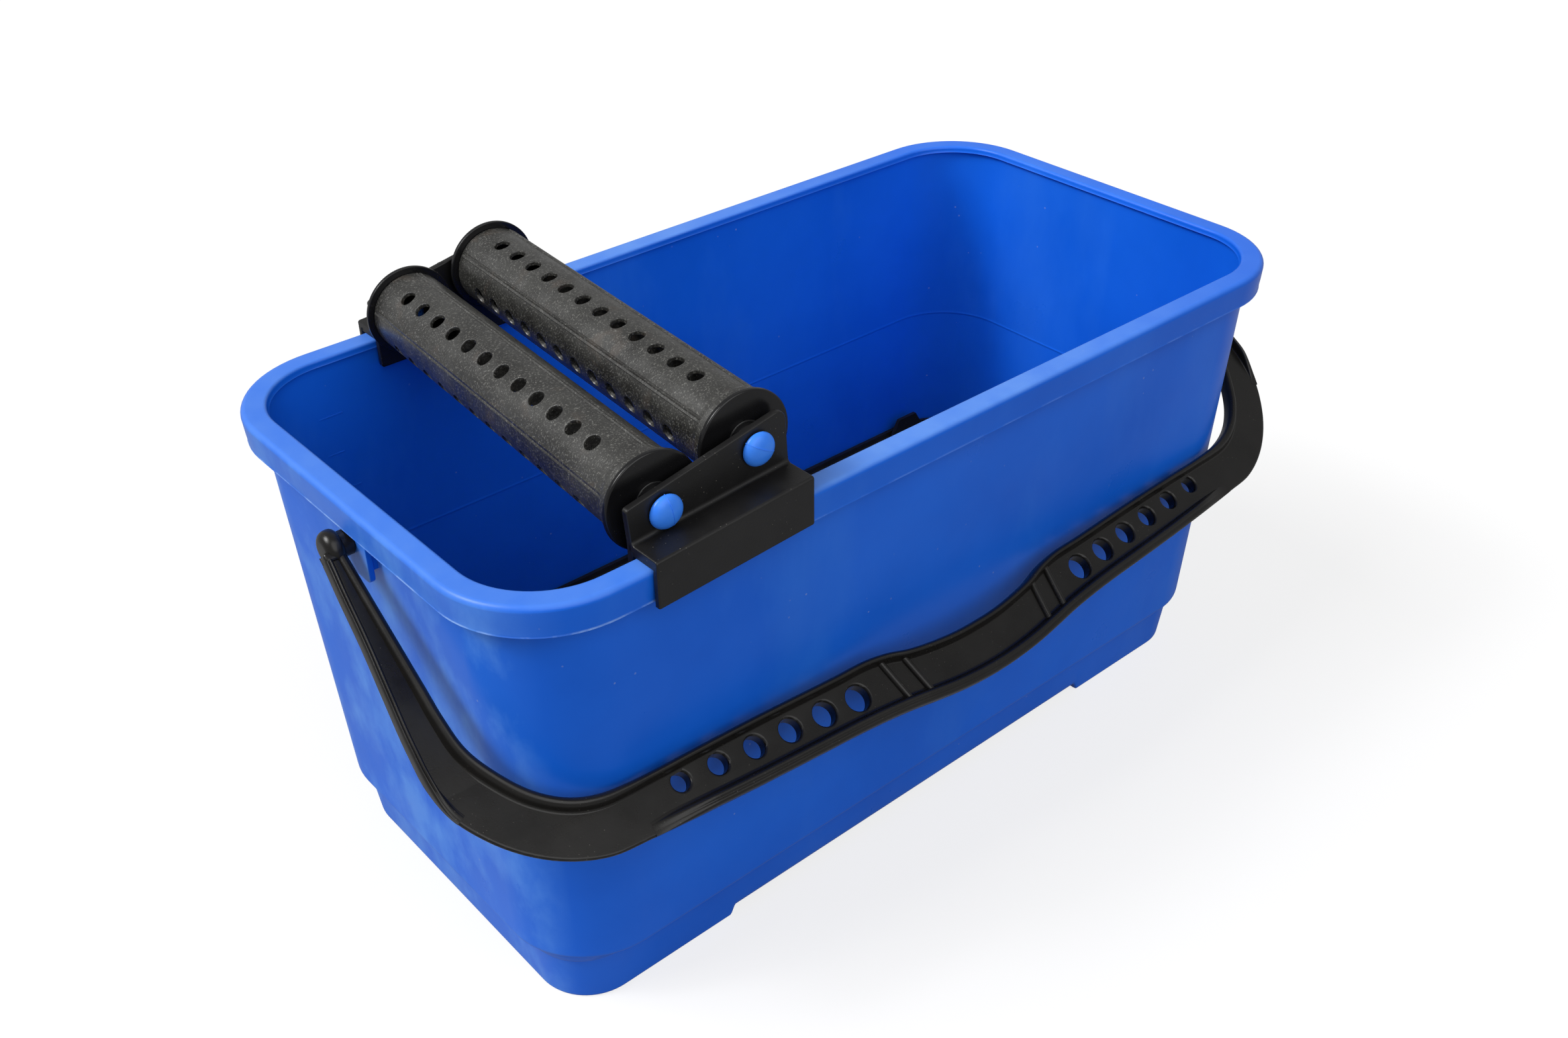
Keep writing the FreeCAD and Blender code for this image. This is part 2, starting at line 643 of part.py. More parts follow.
def make_bracket(name, place, side):
    """An upright plate, a shelf over the rim and a skirt down its outside; side is -1 or 1."""
    body = make_body(name)
    outward = "0 - " if side > 0 else ""
    turned = side > 0
    inner_level = outward + "plate_inner_face"
    low_end = place + " - bracket_half_length"
    high_end = place + " + bracket_half_length"
    shelf_low = "rim_height + bracket_shelf_rise"
    shelf_high = shelf_low + " + bracket_shelf_climb"
    crown = "rim_height + bracket_crown"
    plate = polygon(
        body, "PlateOutline", "XZ_Plane", inner_level,
        ((low_end, "rim_height - bracket_leg_depth"), (high_end, "rim_height - bracket_leg_depth"),
         (high_end, shelf_high), (high_end + " - bracket_crown_inset", crown + " + bracket_crown_climb"),
         (low_end + " - bracket_crown_overhang", crown)),
    )
    pad(body, "Plate", plate, "bracket_thickness", turned)
    fillet(
        body, "LowCorner", near_line(low_end + " - bracket_crown_overhang", crown),
        "bracket_low_round",
    )
    fillet(
        body, "HighCorner",
        near_line(high_end + " - bracket_crown_inset", crown + " + bracket_crown_climb"),
        "bracket_high_round",
    )
    shelf = polygon(
        body, "ShelfProfile", "XZ_Plane", inner_level,
        ((low_end, shelf_low + " - bracket_thickness"), (high_end, shelf_high + " - bracket_thickness"),
         (high_end, shelf_high), (low_end, shelf_low)),
    )
    pad(
        body, "Shelf", shelf,
        "rim_half_width + bracket_skirt_gap + bracket_skirt_thickness - plate_inner_face", turned,
    )
    skirt = polygon(
        body, "SkirtProfile", "XZ_Plane",
        outward + "rim_half_width + bracket_skirt_gap" if side < 0
        else "0 - rim_half_width - bracket_skirt_gap",
        ((low_end, "rim_height - bracket_skirt_depth"),
         (high_end, "rim_height - bracket_skirt_depth + bracket_skirt_climb"),
         (high_end, shelf_high), (low_end, shelf_low)),
    )
    pad(body, "Skirt", skirt, "bracket_skirt_thickness", turned)
    round_bracket(body, side)
    make_seat_ribs(body, place, inner_level, turned)
    for hole, shift, height in (
        ("Low", " - axis_half_spacing", "low_axis_height"),
        ("High", " + axis_half_spacing", "high_axis_height"),
    ):
        outline = circle(
            body, hole + "HoleOutline", "XZ_Plane", inner_level, (place + shift, height),
            "pin_shank_radius + pin_hole_gap",
        )
        pocket(body, hole + "Hole", outline, "2*bracket_thickness + overrun", midplane=True)
    return body


def round_bracket(body, side):
    """Round the long edge where the shelf turns down into the skirt."""
    outer_face = number("rim_half_width + bracket_skirt_gap + bracket_skirt_thickness")
    near = number("rim_lip_round") * NEAR_SHARE

    def on_crease(spot):
        return abs(spot.y * side - outer_face) < near and spot.z > number("rim_height")

    fillet(body, "CreaseRound", on_crease, "bracket_edge_round")


def make_seat_ribs(body, place, inner_level, turned):
    """Three ribs under the shelf stand on the top of the rim."""
    foot = "rim_height + bracket_seat_gap"
    top = "rim_height + bracket_shelf_rise - 0.5*bracket_thickness"
    ribs = (
        ("Low", " - bracket_half_length", " - bracket_half_length + seat_rib_thickness", ""),
        ("Middle", " - 0.5*seat_rib_thickness", " + 0.5*seat_rib_thickness",
         " + 0.5*bracket_shelf_climb"),
        ("High", " + bracket_half_length - seat_rib_thickness", " + bracket_half_length",
         " + 0.9*bracket_shelf_climb"),
    )
    for rib, left, right, climb in ribs:
        outline = polygon(
            body, rib + "RibOutline", "XZ_Plane", inner_level,
            ((place + left, foot), (place + right, foot), (place + right, top + climb),
             (place + left, top + climb)),
        )
        pad(
            body, rib + "Rib", outline,
            "rim_half_width + bracket_skirt_gap + 0.5*bracket_skirt_thickness - plate_inner_face",
            turned,
        )


# Rollers: each piece is drawn about its own Z axis, measured from the roller's middle

SHELL_END = "axis_half_gap - hub_gap - hub_length - disc_thickness"
HUB_END = "axis_half_gap - hub_gap"
BARREL_END = SHELL_END + " - 0.5*plug_length"


def roller_frame(which, outward=1, angle=0.0):
    """Where a roller's piece goes: its Z axis along the roller, outward -1 faces the front."""
    shift = number("axis_half_spacing") * (1 if which == "right" else -1)
    height = number("high_axis_height" if which == "right" else "low_axis_height")
    middle = 0.5 * number("front_bracket_place + back_bracket_place")
    along = FreeCAD.Vector(math.sin(roller_skew), math.cos(roller_skew), 0)
    across = FreeCAD.Vector(math.cos(roller_skew), -math.sin(roller_skew), 0)
    turn = math.radians(angle)
    zero_line = across * math.cos(turn) + FreeCAD.Vector(0, 0, math.sin(turn))
    axis = along * outward
    rotation = FreeCAD.Rotation(zero_line, axis.cross(zero_line), axis, "ZXY")
    return FreeCAD.Placement(FreeCAD.Vector(middle + shift, 0, height), rotation)


def make_shell(which, row_angle):
    """The perforated tube: a flared collar at its front end, four rows of holes, four ridges."""
    body = make_body(which + "_roller_shell")
    front = "0 - axis_half_gap + hub_gap + hub_length + disc_thickness"
    bore = "shell_radius - shell_thickness"
    profile = polygon(
        body, "ShellProfile", "XZ_Plane", "0",
        ((bore, front), ("shell_collar_radius", front),
         ("shell_collar_radius", front + " + shell_collar_length"),
         ("shell_radius", front + " + shell_collar_length + shell_flare_length"),
         ("shell_radius", SHELL_END), (bore, SHELL_END)),
    )
    revolve(body, "Tube", profile)
    ridge = polygon(
        body, "RidgeProfile", "XY_Plane", front + " + shell_collar_length + 0.5*shell_flare_length",
        (("shell_radius - 0.5*shell_thickness", "0 - 0.5*ridge_width"),
         ("shell_radius + ridge_height", "0 - 0.5*ridge_width"),
         ("shell_radius + ridge_height", "0.5*ridge_width"),
         ("shell_radius - 0.5*shell_thickness", "0.5*ridge_width")),
        turn=180 / HOLE_ROWS,
    )
    ridge_pad = pad(
        body, "Ridge", ridge,
        "2*axis_half_gap - 2*hub_gap - 2*hub_length - 2*disc_thickness - shell_collar_length"
        " - 0.5*shell_flare_length - ridge_end_gap",
    )
    pattern(body, "Ridges", [ridge_pad], (("PolarPattern", "Z_Axis", HOLE_ROWS, ""),))
    first = "0.5*shell_collar_length + 0.5*shell_flare_length - %s*drain_hole_pitch" % (
        0.5 * (DRAIN_HOLES - 1)
    )
    hole = circle(body, "DrainHoleOutline", "YZ_Plane", "0", ("0", first), "drain_hole_radius")
    drain = pocket(body, "DrainHole", hole, "shell_collar_radius + overrun", reverse=True)
    pattern(
        body, "DrainHoles", [drain],
        (("LinearPattern", "Z_Axis", DRAIN_HOLES, "%d*drain_hole_pitch" % (DRAIN_HOLES - 1)),
         ("PolarPattern", "Z_Axis", HOLE_ROWS, "")),
    )
    body.Placement = roller_frame(which, 1, row_angle)
    return body


def make_cap(which, end):
    """End disc with a plug in the shell, a barrel for the pin and a hub towards the bracket."""
    body = make_body("%s_roller_%s_cap" % (which, end))
    bore = "pin_shank_radius + pin_fit"
    plug = "shell_radius - shell_thickness - plug_fit"
    disc_face = SHELL_END + " + disc_thickness"
    profile = polygon(
        body, "CapProfile", "XZ_Plane", "0",
        ((bore, BARREL_END), (bore, HUB_END), ("hub_radius", HUB_END), ("hub_radius", disc_face),
         ("disc_radius", disc_face), ("disc_radius", SHELL_END), (plug, SHELL_END),
         (plug, SHELL_END + " - plug_length"), (plug + " - plug_wall", SHELL_END + " - plug_length"),
         (plug + " - plug_wall", SHELL_END), (bore + " + plug_wall", SHELL_END),
         (bore + " + plug_wall", BARREL_END)),
    )
    revolve(body, "Cap", profile)
    rim = number("disc_radius")
    near = number("disc_edge_round") * NEAR_SHARE

    def on_disc_rim(spot):
        return abs(math.hypot(spot.x, spot.y) - rim) < near

    fillet(body, "DiscRound", both(on_disc_rim, at_level(disc_face)), "disc_edge_round")
    body.Placement = roller_frame(which, -1 if end == "front" else 1)
    return body


def make_pin(which, end):
    """Push pin: a domed head outside the bracket, a shank, and a slotted barb in the cap."""
    body = make_body("%s_roller_%s_pin" % (which, end))
    head_foot = "axis_half_reach + pin_head_gap"
    barb = BARREL_END + " - pin_fit"
    profile = polygon(
        body, "PinProfile", "XZ_Plane", "0",
        (("0", barb + " - pin_barb_length"), ("pin_tip_radius", barb + " - pin_barb_length"),
         ("pin_barb_radius", barb), ("pin_shank_radius", barb), ("pin_shank_radius", head_foot),
         ("pin_head_radius", head_foot), ("pin_head_radius", head_foot + " + pin_head_height"),
         ("0", head_foot + " + pin_head_height")),
    )
    revolve(body, "Pin", profile)
    fillet(body, "Dome", at_level(head_foot + " + pin_head_height"), "0.95*pin_head_height")
    slot = polygon(
        body, "SlotOutline", "XZ_Plane", "0",
        (("0 - 0.5*pin_slot_width", barb + " - pin_barb_length - overrun"),
         ("0.5*pin_slot_width", barb + " - pin_barb_length - overrun"),
         ("0.5*pin_slot_width", barb + " + pin_barb_length"),
         ("0 - 0.5*pin_slot_width", barb + " + pin_barb_length")),
    )
    pocket(body, "Slot", slot, "4*pin_barb_radius", midplane=True)
    body.Placement = roller_frame(which, -1 if end == "front" else 1)
    return body


# Sediment grid

def make_grid():
    """A skirt that stands on the ledge, and a deck of slots set down a little inside it."""
    body = make_body("sediment_grid")
    half_length = FOOT_HALF_LENGTH + " - wall_thickness - grid_gap"
    half_width = FOOT_HALF_WIDTH + " - wall_thickness - grid_gap"
    corner = "wall_corner_radius - wall_thickness - grid_gap"
    foot = "ledge_height + grid_seat_gap"
    outside = rounded_rectangle(body, "GridOutline", foot, half_length, half_width, corner)
    pad(body, "GridBlock", outside, "grid_height")
    below = rounded_rectangle(
        body, "GridUnderside", foot, half_length + " - grid_wall", half_width + " - grid_wall",
        corner + " - grid_wall",
    )
    pocket(
        body, "GridHollow", below, "grid_height - grid_deck_drop - grid_plate_thickness", reverse=True
    )
    above = rounded_rectangle(
        body, "GridTop", foot + " + grid_height - grid_deck_drop", half_length + " - grid_wall",
        half_width + " - grid_wall", corner + " - grid_wall",
    )
    pocket(body, "GridTray", above, "grid_deck_drop + overrun", reverse=True)
    make_tab(body, foot)
    make_grid_slots(body, foot)
    return body


def make_tab(body, foot):
    """A finger tab stands up from the deck by the far side near one corner."""
    top = foot + " + grid_height"
    deck = top + " - grid_deck_drop - 0.5*grid_plate_thickness"
    tab = polygon(
        body, "TabOutline", "XZ_Plane", "0 - rim_half_width + overhang_sides + wall_lean"
        " + wall_thickness + grid_gap + grid_tab_inset",
        (("grid_tab_place - grid_tab_length", deck),
         ("grid_tab_place + grid_tab_length", deck),
         ("grid_tab_place + 0.5*grid_tab_length", top + " + grid_tab_height"),
         ("grid_tab_place - 0.5*grid_tab_length", top + " + grid_tab_height")),
    )
    pad(body, "Tab", tab, "grid_wall")


def make_grid_slots(body, foot):
    """Slots through the deck, in columns along X and rows along Y."""
    column_run = "grid_slot_length + grid_bar"
    columns = GRID_COLUMNS - 1
    rows = GRID_ROWS - 1
    left = "0 - %s*grid_slot_length - %s*grid_bar" % (0.5 * GRID_COLUMNS, 0.5 * columns)
    near = "0 - %s*grid_slot_width - %s*grid_bar" % (0.5 * GRID_ROWS, 0.5 * rows)
    slot = polygon(
        body, "GridSlotOutline", "XY_Plane", foot + " + grid_height",
        ((left, near), (left + " + grid_slot_length", near),
         (left + " + grid_slot_length", near + " + grid_slot_width"),
         (left, near + " + grid_slot_width")),
    )
    slot_pocket = pocket(body, "GridSlot", slot, "0.5*grid_height")
    pattern(
        body, "GridSlots", [slot_pocket],
        (("LinearPattern", "X_Axis", GRID_COLUMNS,
          "%d*grid_slot_length + %d*grid_bar" % (columns, columns)),
         ("LinearPattern", "Y_Axis", GRID_ROWS, "%d*grid_slot_width + %d*grid_bar" % (rows, rows))),
    )


# Handle: drawn flat, X across and Y away from the pivot, the rails standing up along Z

def handle_points(inner):
    """Half of one edge, from the middle of the grip to the arm's upright stretch."""
    half = number("rim_half_length + handle_arm_gap")
    reach = number("handle_inner_reach")
    if inner:
        step = number("handle_grip_offset")
        grip = [(half * x, reach + step * y) for x, y in GRIP_INNER_SHARES]
        return grip + [(half * x, reach * y) for x, y in ELBOW_INNER_SHARES]
    arm_x = half + number("handle_arm_width")
    flare = number("handle_elbow_width - handle_arm_width")
    half += number("handle_elbow_width")
    step = number("handle_bar_width")
    grip = [(half * x, reach + step * y) for x, y in GRIP_OUTER_SHARES]
    elbow = [(half * x, reach * y) for x, y in ELBOW_OUTER_SHARES]
    return grip + elbow + [(arm_x + flare * x, reach * y) for x, y in ARM_FLARE_SHARES]


def smooth(places):
    """A curve through the places."""
    curve = Part.BSplineCurve()
    curve.interpolate(places)
    return curve


def handle_edge(inner, shift=0.0):
    """One edge of the whole handle, from arm end to arm end, moved away from the pivot."""
    points = handle_points(inner)
    places = [FreeCAD.Vector(-x, y, 0) for x, y in reversed(points[1:])]
    places += [FreeCAD.Vector(x, y, 0) for x, y in points]
    curve = smooth(places)
    if shift:
        moved = []
        for sample in range(OFFSET_SAMPLES + 1):
            spot = curve.FirstParameter + (
                curve.LastParameter - curve.FirstParameter
            ) * sample / OFFSET_SAMPLES
            along = curve.tangent(spot)[0]
            moved.append(curve.value(spot) + FreeCAD.Vector(-along.y, along.x, 0) * shift)
        curve = smooth(moved)
    start = curve.value(curve.FirstParameter)
    finish = curve.value(curve.LastParameter)
    return curve, start, finish


def handle_face(inner_edge, outer_edge, end):
    """The flat face between two edges, whose arms end at a given Y."""
    corners = []
    edges = []
    for curve, start, finish in (inner_edge, outer_edge):
        edges.append(curve.toShape())
        left = FreeCAD.Vector(start.x, end, 0)
        right = FreeCAD.Vector(finish.x, end, 0)
        edges.append(Part.LineSegment(left, start).toShape())
        edges.append(Part.LineSegment(finish, right).toShape())
        corners.append((left, right))
    for side in (0, 1):
        edges.append(Part.LineSegment(corners[0][side], corners[1][side]).toShape())
    return Part.Face(Part.Wire(Part.__sortEdges__(edges)))


def upright_box(low_x, high_x, low_y, high_y, low_z, high_z):
    corner = FreeCAD.Vector(low_x, low_y, low_z)
    return Part.makeBox(high_x - low_x, high_y - low_y, high_z - low_z, corner)


def fill_wedge(farthest):
    """A wedge across both arms, under which their web rises towards the pivot."""
    web = number("handle_web")
    level = number("handle_fill_length")
    corners = ((0, -web), (level, -web), (level, 0), (0, number("handle_fill_rise")), (0, -web))
    outline = Part.makePolygon([FreeCAD.Vector(-farthest, y, z) for y, z in corners])
    return Part.Face(outline).extrude(FreeCAD.Vector(2 * farthest, 0, 0))


def make_channel():
    """The web with a rail along both edges; the outer rail leaves out the elbows."""
    web = number("handle_web")
    rail = number("handle_rail_width")
    top = number("handle_rail_height")
    above = top + number("overrun")
    inner_edge = handle_edge(True)
    outer_edge = handle_edge(False)
    lift = FreeCAD.Vector(0, 0, web + top)
    blank = handle_face(inner_edge, outer_edge, 0).extrude(lift)
    blank.translate(FreeCAD.Vector(0, 0, -web))
    past_rail = handle_edge(True, rail)
    trough = handle_face(past_rail, handle_edge(False, -rail), 0)
    trough = trough.extrude(FreeCAD.Vector(0, 0, above))
    trough_start = number("handle_eye_length")
    farthest = number("rim_half_length + handle_elbow_width + overrun")
    deepest = number("handle_inner_reach + 2*handle_bar_width")
    trough = trough.common(upright_box(-farthest, farthest, trough_start, deepest, 0, above))
    elbow = handle_face(past_rail, outer_edge, 0).extrude(FreeCAD.Vector(0, 0, above))
    elbow_x = number("handle_elbow_start")
    elbow_y = number("handle_inner_reach - handle_bar_width")
    right = upright_box(elbow_x, farthest, elbow_y, deepest, 0, above)
    left = upright_box(-farthest, -elbow_x, elbow_y, deepest, 0, above)
    fill = blank.common(fill_wedge(farthest))
    return blank.cut([trough, elbow.common(left), elbow.common(right)]).fuse(fill)


def handle_hole_places():
    """Middle and radius of each hole beside the grip, from the grip outwards."""
    pitch = number("handle_hole_pitch")
    steps = HANDLE_HOLES - 1
    for hole in range(HANDLE_HOLES):
        share = hole / steps
        across = number("handle_hole_first") + pitch * hole
        away = number("handle_hole_row") - number("handle_hole_drop") * share
        radius = number("handle_hole_wide") * (1 - share) + number("handle_hole_narrow") * share
        yield across, away, radius


def make_handle_ribs(solid):
    """Two ribs lie across the web on each side of the grip."""
    rail = number("handle_rail_width")
    reach = number("handle_inner_reach")
    width = number("handle_rib_width")
    inner_edge = handle_edge(True, 0.5 * rail)
    outer_edge = handle_edge(False, -0.5 * rail)
    face = handle_face(inner_edge, outer_edge, 0)
    block = face.extrude(FreeCAD.Vector(0, 0, number("handle_rib_height")))
    ribs = []
    for side in (-1, 1):
        for place in (number("handle_rib_near"), number("handle_rib_far")):
            lean = number("handle_rib_lean")
            length = number("2*handle_bar_width")
            foot = reach
            corners = (
                (place, foot), (place + width, foot), (place + width - lean, foot + length),
                (place - lean, foot + length), (place, foot),
            )
            outline = Part.makePolygon([FreeCAD.Vector(side * x, y, 0) for x, y in corners])
            strip = Part.Face(outline).extrude(FreeCAD.Vector(0, 0, number("handle_rib_height")))
            ribs.append(block.common(strip))
    return solid.fuse(ribs)


def make_arm_ends(solid):
    """On each arm a rounded end, a collar before the lug, a peg through it and a snap head."""
    inner_x = number("rim_half_length + handle_arm_gap")
    across = FreeCAD.Vector(1, 0, 0)
    flange_x = number("lug_reach + flange_gap")
    snap_face = number("lug_reach - lug_thickness - snap_gap")
    snap_back = snap_face - number("snap_thickness")
    end_width = number("handle_arm_width")
    end_radius = number("handle_end_radius")
    rows = (
        (number("flange_radius"), flange_x, inner_x),
        (number("peg_radius"), snap_back, inner_x),
        (number("snap_radius"), snap_back, snap_face),
    )
    rounds = []
    for side in (-1, 1):
        foot = FreeCAD.Vector(side * inner_x, 0, 0)
        arm_end = Part.makeCylinder(end_radius, end_width, foot, across * side)
        rims = [edge for edge in arm_end.Edges if isinstance(edge.Curve, Part.Circle)]
        rounds.append(arm_end.makeFillet(number("handle_end_round"), rims))
        for radius, start, finish in rows:
            foot = FreeCAD.Vector(side * start, 0, 0)
            rounds.append(Part.makeCylinder(radius, finish - start, foot, across * side))
    return solid.fuse(rounds)


def make_handle():
    """A bail bent in one plane, hung on its pivot so that its back rests on the front wall."""
    solid = make_channel()
    holes = []
    for across, away, radius in handle_hole_places():
        for side in (-1, 1):
            foot = FreeCAD.Vector(side * across, away, -number("handle_web + overrun"))
            holes.append(Part.makeCylinder(radius, number("handle_web + 2*overrun"), foot))
    solid = make_arm_ends(make_handle_ribs(solid.cut(holes)))
    piece = doc.addObject("Part::Feature", "handle")
    piece.Label = "handle"
    piece.Shape = solid.removeSplitter()
    pivot = FreeCAD.Vector(0, 0, number("pivot_height"))
    hang = FreeCAD.Rotation(FreeCAD.Vector(1, 0, 0), rest_angle())
    piece.Placement = FreeCAD.Placement(
        pivot, hang.multiply(FreeCAD.Rotation(FreeCAD.Vector(0, 0, 1), 180))
    )
    return piece


def rest_angle():
    """How far below level the handle hangs, in degrees, when its back meets the front wall."""
    reach = number("handle_inner_reach")
    web = number("handle_web")
    wall_top = number("rim_height - 0.5*rim_top_thickness")
    slope = number("wall_lean") / (wall_top - number("wall_foot_height"))
    level_part = reach + slope * web
    drop_part = slope * reach - web
    wall_at_pivot = number(WALL_HALF_WIDTH) - slope * (wall_top - number("pivot_height"))
    target = wall_at_pivot + number("handle_rest_gap")
    turn = math.acos(target / math.hypot(level_part, drop_part))
    return math.degrees(math.atan2(drop_part, level_part) + turn)


pieces = [make_tub(), make_handle(), make_grid()]
pieces.append(make_bracket("front_bracket", "front_bracket_place", -1))
pieces.append(make_bracket("back_bracket", "back_bracket_place", 1))
for roller, row_angle in (("left", LEFT_ROW_ANGLE), ("right", RIGHT_ROW_ANGLE)):
    pieces.append(make_shell(roller, row_angle))
    for roller_end in ("front", "back"):
        pieces.append(make_cap(roller, roller_end))
        pieces.append(make_pin(roller, roller_end))
doc.recompute()
print("handle hangs", round(rest_angle(), 3), "degrees below level")
print("roller skew", round(math.degrees(roller_skew), 3), "degrees")

# Check the document, then write each piece
for item in doc.Objects:
    if "Invalid" in item.State or "Error" in item.State:
        raise RuntimeError("%s failed: %s" % (item.Name, item.State))
os.makedirs("parts", exist_ok=True)
for piece in pieces:
    if piece.Shape.isNull() or not piece.Shape.isValid():
        raise RuntimeError(piece.Label + " has no valid shape")
    print(piece.Label, "solids", len(piece.Shape.Solids), "volume", round(piece.Shape.Volume))
    piece.Shape.exportStep("parts/" + piece.Label + ".step")
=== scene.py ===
# %% [markdown]
# # A wash bucket with squeeze rollers
#
# This lesson dresses a finished CAD bucket for a picture. The CAD gives every place and size, so
# nothing is fitted by eye: each piece is built in the CAD's own frame, rides on one of its bodies,
# and stands for the CAD solid that it replaces.

# %% Load the CAD bucket
import math

import bmesh
import bpy
from mathutils import Matrix, Vector
from mathutils.geometry import interpolate_bezier


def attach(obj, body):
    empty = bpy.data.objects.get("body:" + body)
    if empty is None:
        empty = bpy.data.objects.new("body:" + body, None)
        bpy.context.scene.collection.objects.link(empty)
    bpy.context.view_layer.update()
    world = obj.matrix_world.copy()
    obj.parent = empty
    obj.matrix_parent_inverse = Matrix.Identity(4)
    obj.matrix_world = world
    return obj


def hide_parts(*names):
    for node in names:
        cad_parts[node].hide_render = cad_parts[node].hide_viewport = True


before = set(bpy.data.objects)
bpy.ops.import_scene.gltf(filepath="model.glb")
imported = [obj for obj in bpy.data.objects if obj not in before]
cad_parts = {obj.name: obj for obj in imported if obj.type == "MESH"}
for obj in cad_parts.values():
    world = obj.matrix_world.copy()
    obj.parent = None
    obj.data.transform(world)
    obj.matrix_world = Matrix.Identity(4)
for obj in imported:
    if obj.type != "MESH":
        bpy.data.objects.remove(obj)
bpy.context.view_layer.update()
MM = 0.001
print("nodes:", len(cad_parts))

# %% [markdown]
# ## The camera
#
# The camera stands where the picture was taken: in front, to the left and above, looking down into
# the tub. Its place and its three angles were worked out from the tub's straight edges. The same
# lens gives the same convergence, which no amount of moving the bucket could.

# %% Place the camera
camera_data = bpy.data.cameras.new("bucket_camera")
camera_data.sensor_width = 36.0
camera_data.lens = 36.98
camera_data.clip_start = 0.05
camera = bpy.data.objects.new("bucket_camera", camera_data)
bpy.context.scene.collection.objects.link(camera)
bpy.context.scene.camera = camera

PITCH = math.radians(-33.773)
YAW = math.radians(-40.646)
ROLL = math.radians(-0.803)
camera.location = (-0.50584, -0.58212, 0.65394)
look = Matrix.Rotation(YAW, 4, "Z") @ Matrix.Rotation(math.radians(90) + PITCH, 4, "X")
camera.rotation_euler = (look @ Matrix.Rotation(ROLL, 4, "Z")).to_euler()
print("camera looks along", tuple(round(v, 3) for v in look.to_3x3() @ Vector((0, 0, -1))))

# %% [markdown]
# ## Small helpers for mesh work
#
# A moulded part is a skin drawn through rows of points. One helper turns points in millimetres and
# lists of corners into an object, smooths it, keeps its real creases sharp, and ties it to its CAD
# body. With that done once, each piece below is only its own shape.

# %% From points to a piece
CREASE = 32


def make_mesh(name, points, faces, crease):
    """A mesh from points in millimetres; edges that turn further than the crease stay sharp."""
    mesh = bpy.data.meshes.new(name)
    mesh.from_pydata([Vector(point) * MM for point in points], [], faces)
    return tidy_mesh(mesh, crease)


def tidy_mesh(mesh, crease):
    """Doubled points merged, faces turned outward, smooth shading with its real creases."""
    skin = bmesh.new()
    skin.from_mesh(mesh)
    bmesh.ops.remove_doubles(skin, verts=skin.verts, dist=0.01 * MM)
    bmesh.ops.recalc_face_normals(skin, faces=skin.faces)
    skin.to_mesh(mesh)
    skin.free()
    mesh.shade_smooth()
    mesh.set_sharp_from_angle(angle=math.radians(crease))
    return mesh


def join_meshes(name, meshes):
    """Several closed meshes as one."""
    whole = bmesh.new()
    for mesh in meshes:
        whole.from_mesh(mesh)
    joined = bpy.data.meshes.new(name)
    whole.to_mesh(joined)
    whole.free()
    return joined


def make_piece(name, mesh, finish, body, node):
    """A mesh as a piece that moves with a CAD body and stands for one CAD node."""
    mesh.materials.clear()
    mesh.materials.append(finish)
    piece = bpy.data.objects.new(name, mesh)
    bpy.context.scene.collection.objects.link(piece)
    flats = piece.modifiers.new("flat_faces_shade_flat", "WEIGHTED_NORMAL")
    flats.keep_sharp = True
    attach(piece, body)
    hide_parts(node)
    print(name, "has", len(mesh.vertices), "points and rides on", body)
    return piece


# %% Rows of points into a skin
def skin_rows(rows, capped=False):
    """Quads between closed rows of equal length; returns points and faces."""
    count = len(rows[0])
    points = [point for row in rows for point in row]
    faces = []
    for start in range(0, (len(rows) - 1) * count, count):
        for place in range(count):
            after = (place + 1) % count
            faces.append((start + place, start + after,
                          start + count + after, start + count + place))
    if capped:
        faces.append(tuple(reversed(range(count))))
        faces.append(tuple(range(len(points) - count, len(points))))
    return points, faces


# %% A turned shape
def turn_profile(name, profile, steps=64, crease=CREASE):
    """A profile of radius and height turned about Z; a radius of zero closes the end."""
    points = []
    faces = []
    rows = []
    for radius, height in profile:
        row = []
        for step in range(steps if radius > 0 else 1):
            angle = 2 * math.pi * step / steps
            row.append(len(points))
            points.append((radius * math.cos(angle), radius * math.sin(angle), height))
        rows.append(row)
    for low, high in zip(rows, rows[1:]):
        for step in range(steps):
            after = (step + 1) % steps
            corners = [low[step % len(low)], low[after % len(low)],
                       high[after % len(high)], high[step % len(high)]]
            faces.append(tuple(dict.fromkeys(corners)))
    if len(rows[0]) > 1 and len(rows[-1]) > 1:
        for step in range(steps):
            after = (step + 1) % steps
            faces.append((rows[-1][step], rows[-1][after], rows[0][after], rows[0][step]))
    return make_mesh(name, points, faces, crease)


def rounded(profile, radii, steps=5):
    """A profile with its corners rounded; radii names the corners by their place."""
    result = []
    count = len(profile)
    for place, corner in enumerate(profile):
        if place not in radii:
            result.append(tuple(corner))
            continue
        here = Vector(corner)
        before = Vector(profile[place - 1]) - here
        after = Vector(profile[(place + 1) % count]) - here
        half_angle = before.angle(after) / 2
        back_off = radii[place] / math.tan(half_angle)
        start = here + before.normalized() * back_off
        finish = here + after.normalized() * back_off
        pull = 4 / 3 * math.tan((math.pi / 2 - half_angle) / 2) * radii[place]
        result += [tuple(spot) for spot in interpolate_bezier(
            start, start - before.normalized() * pull, finish - after.normalized() * pull,
            finish, steps,
        )]
    return result
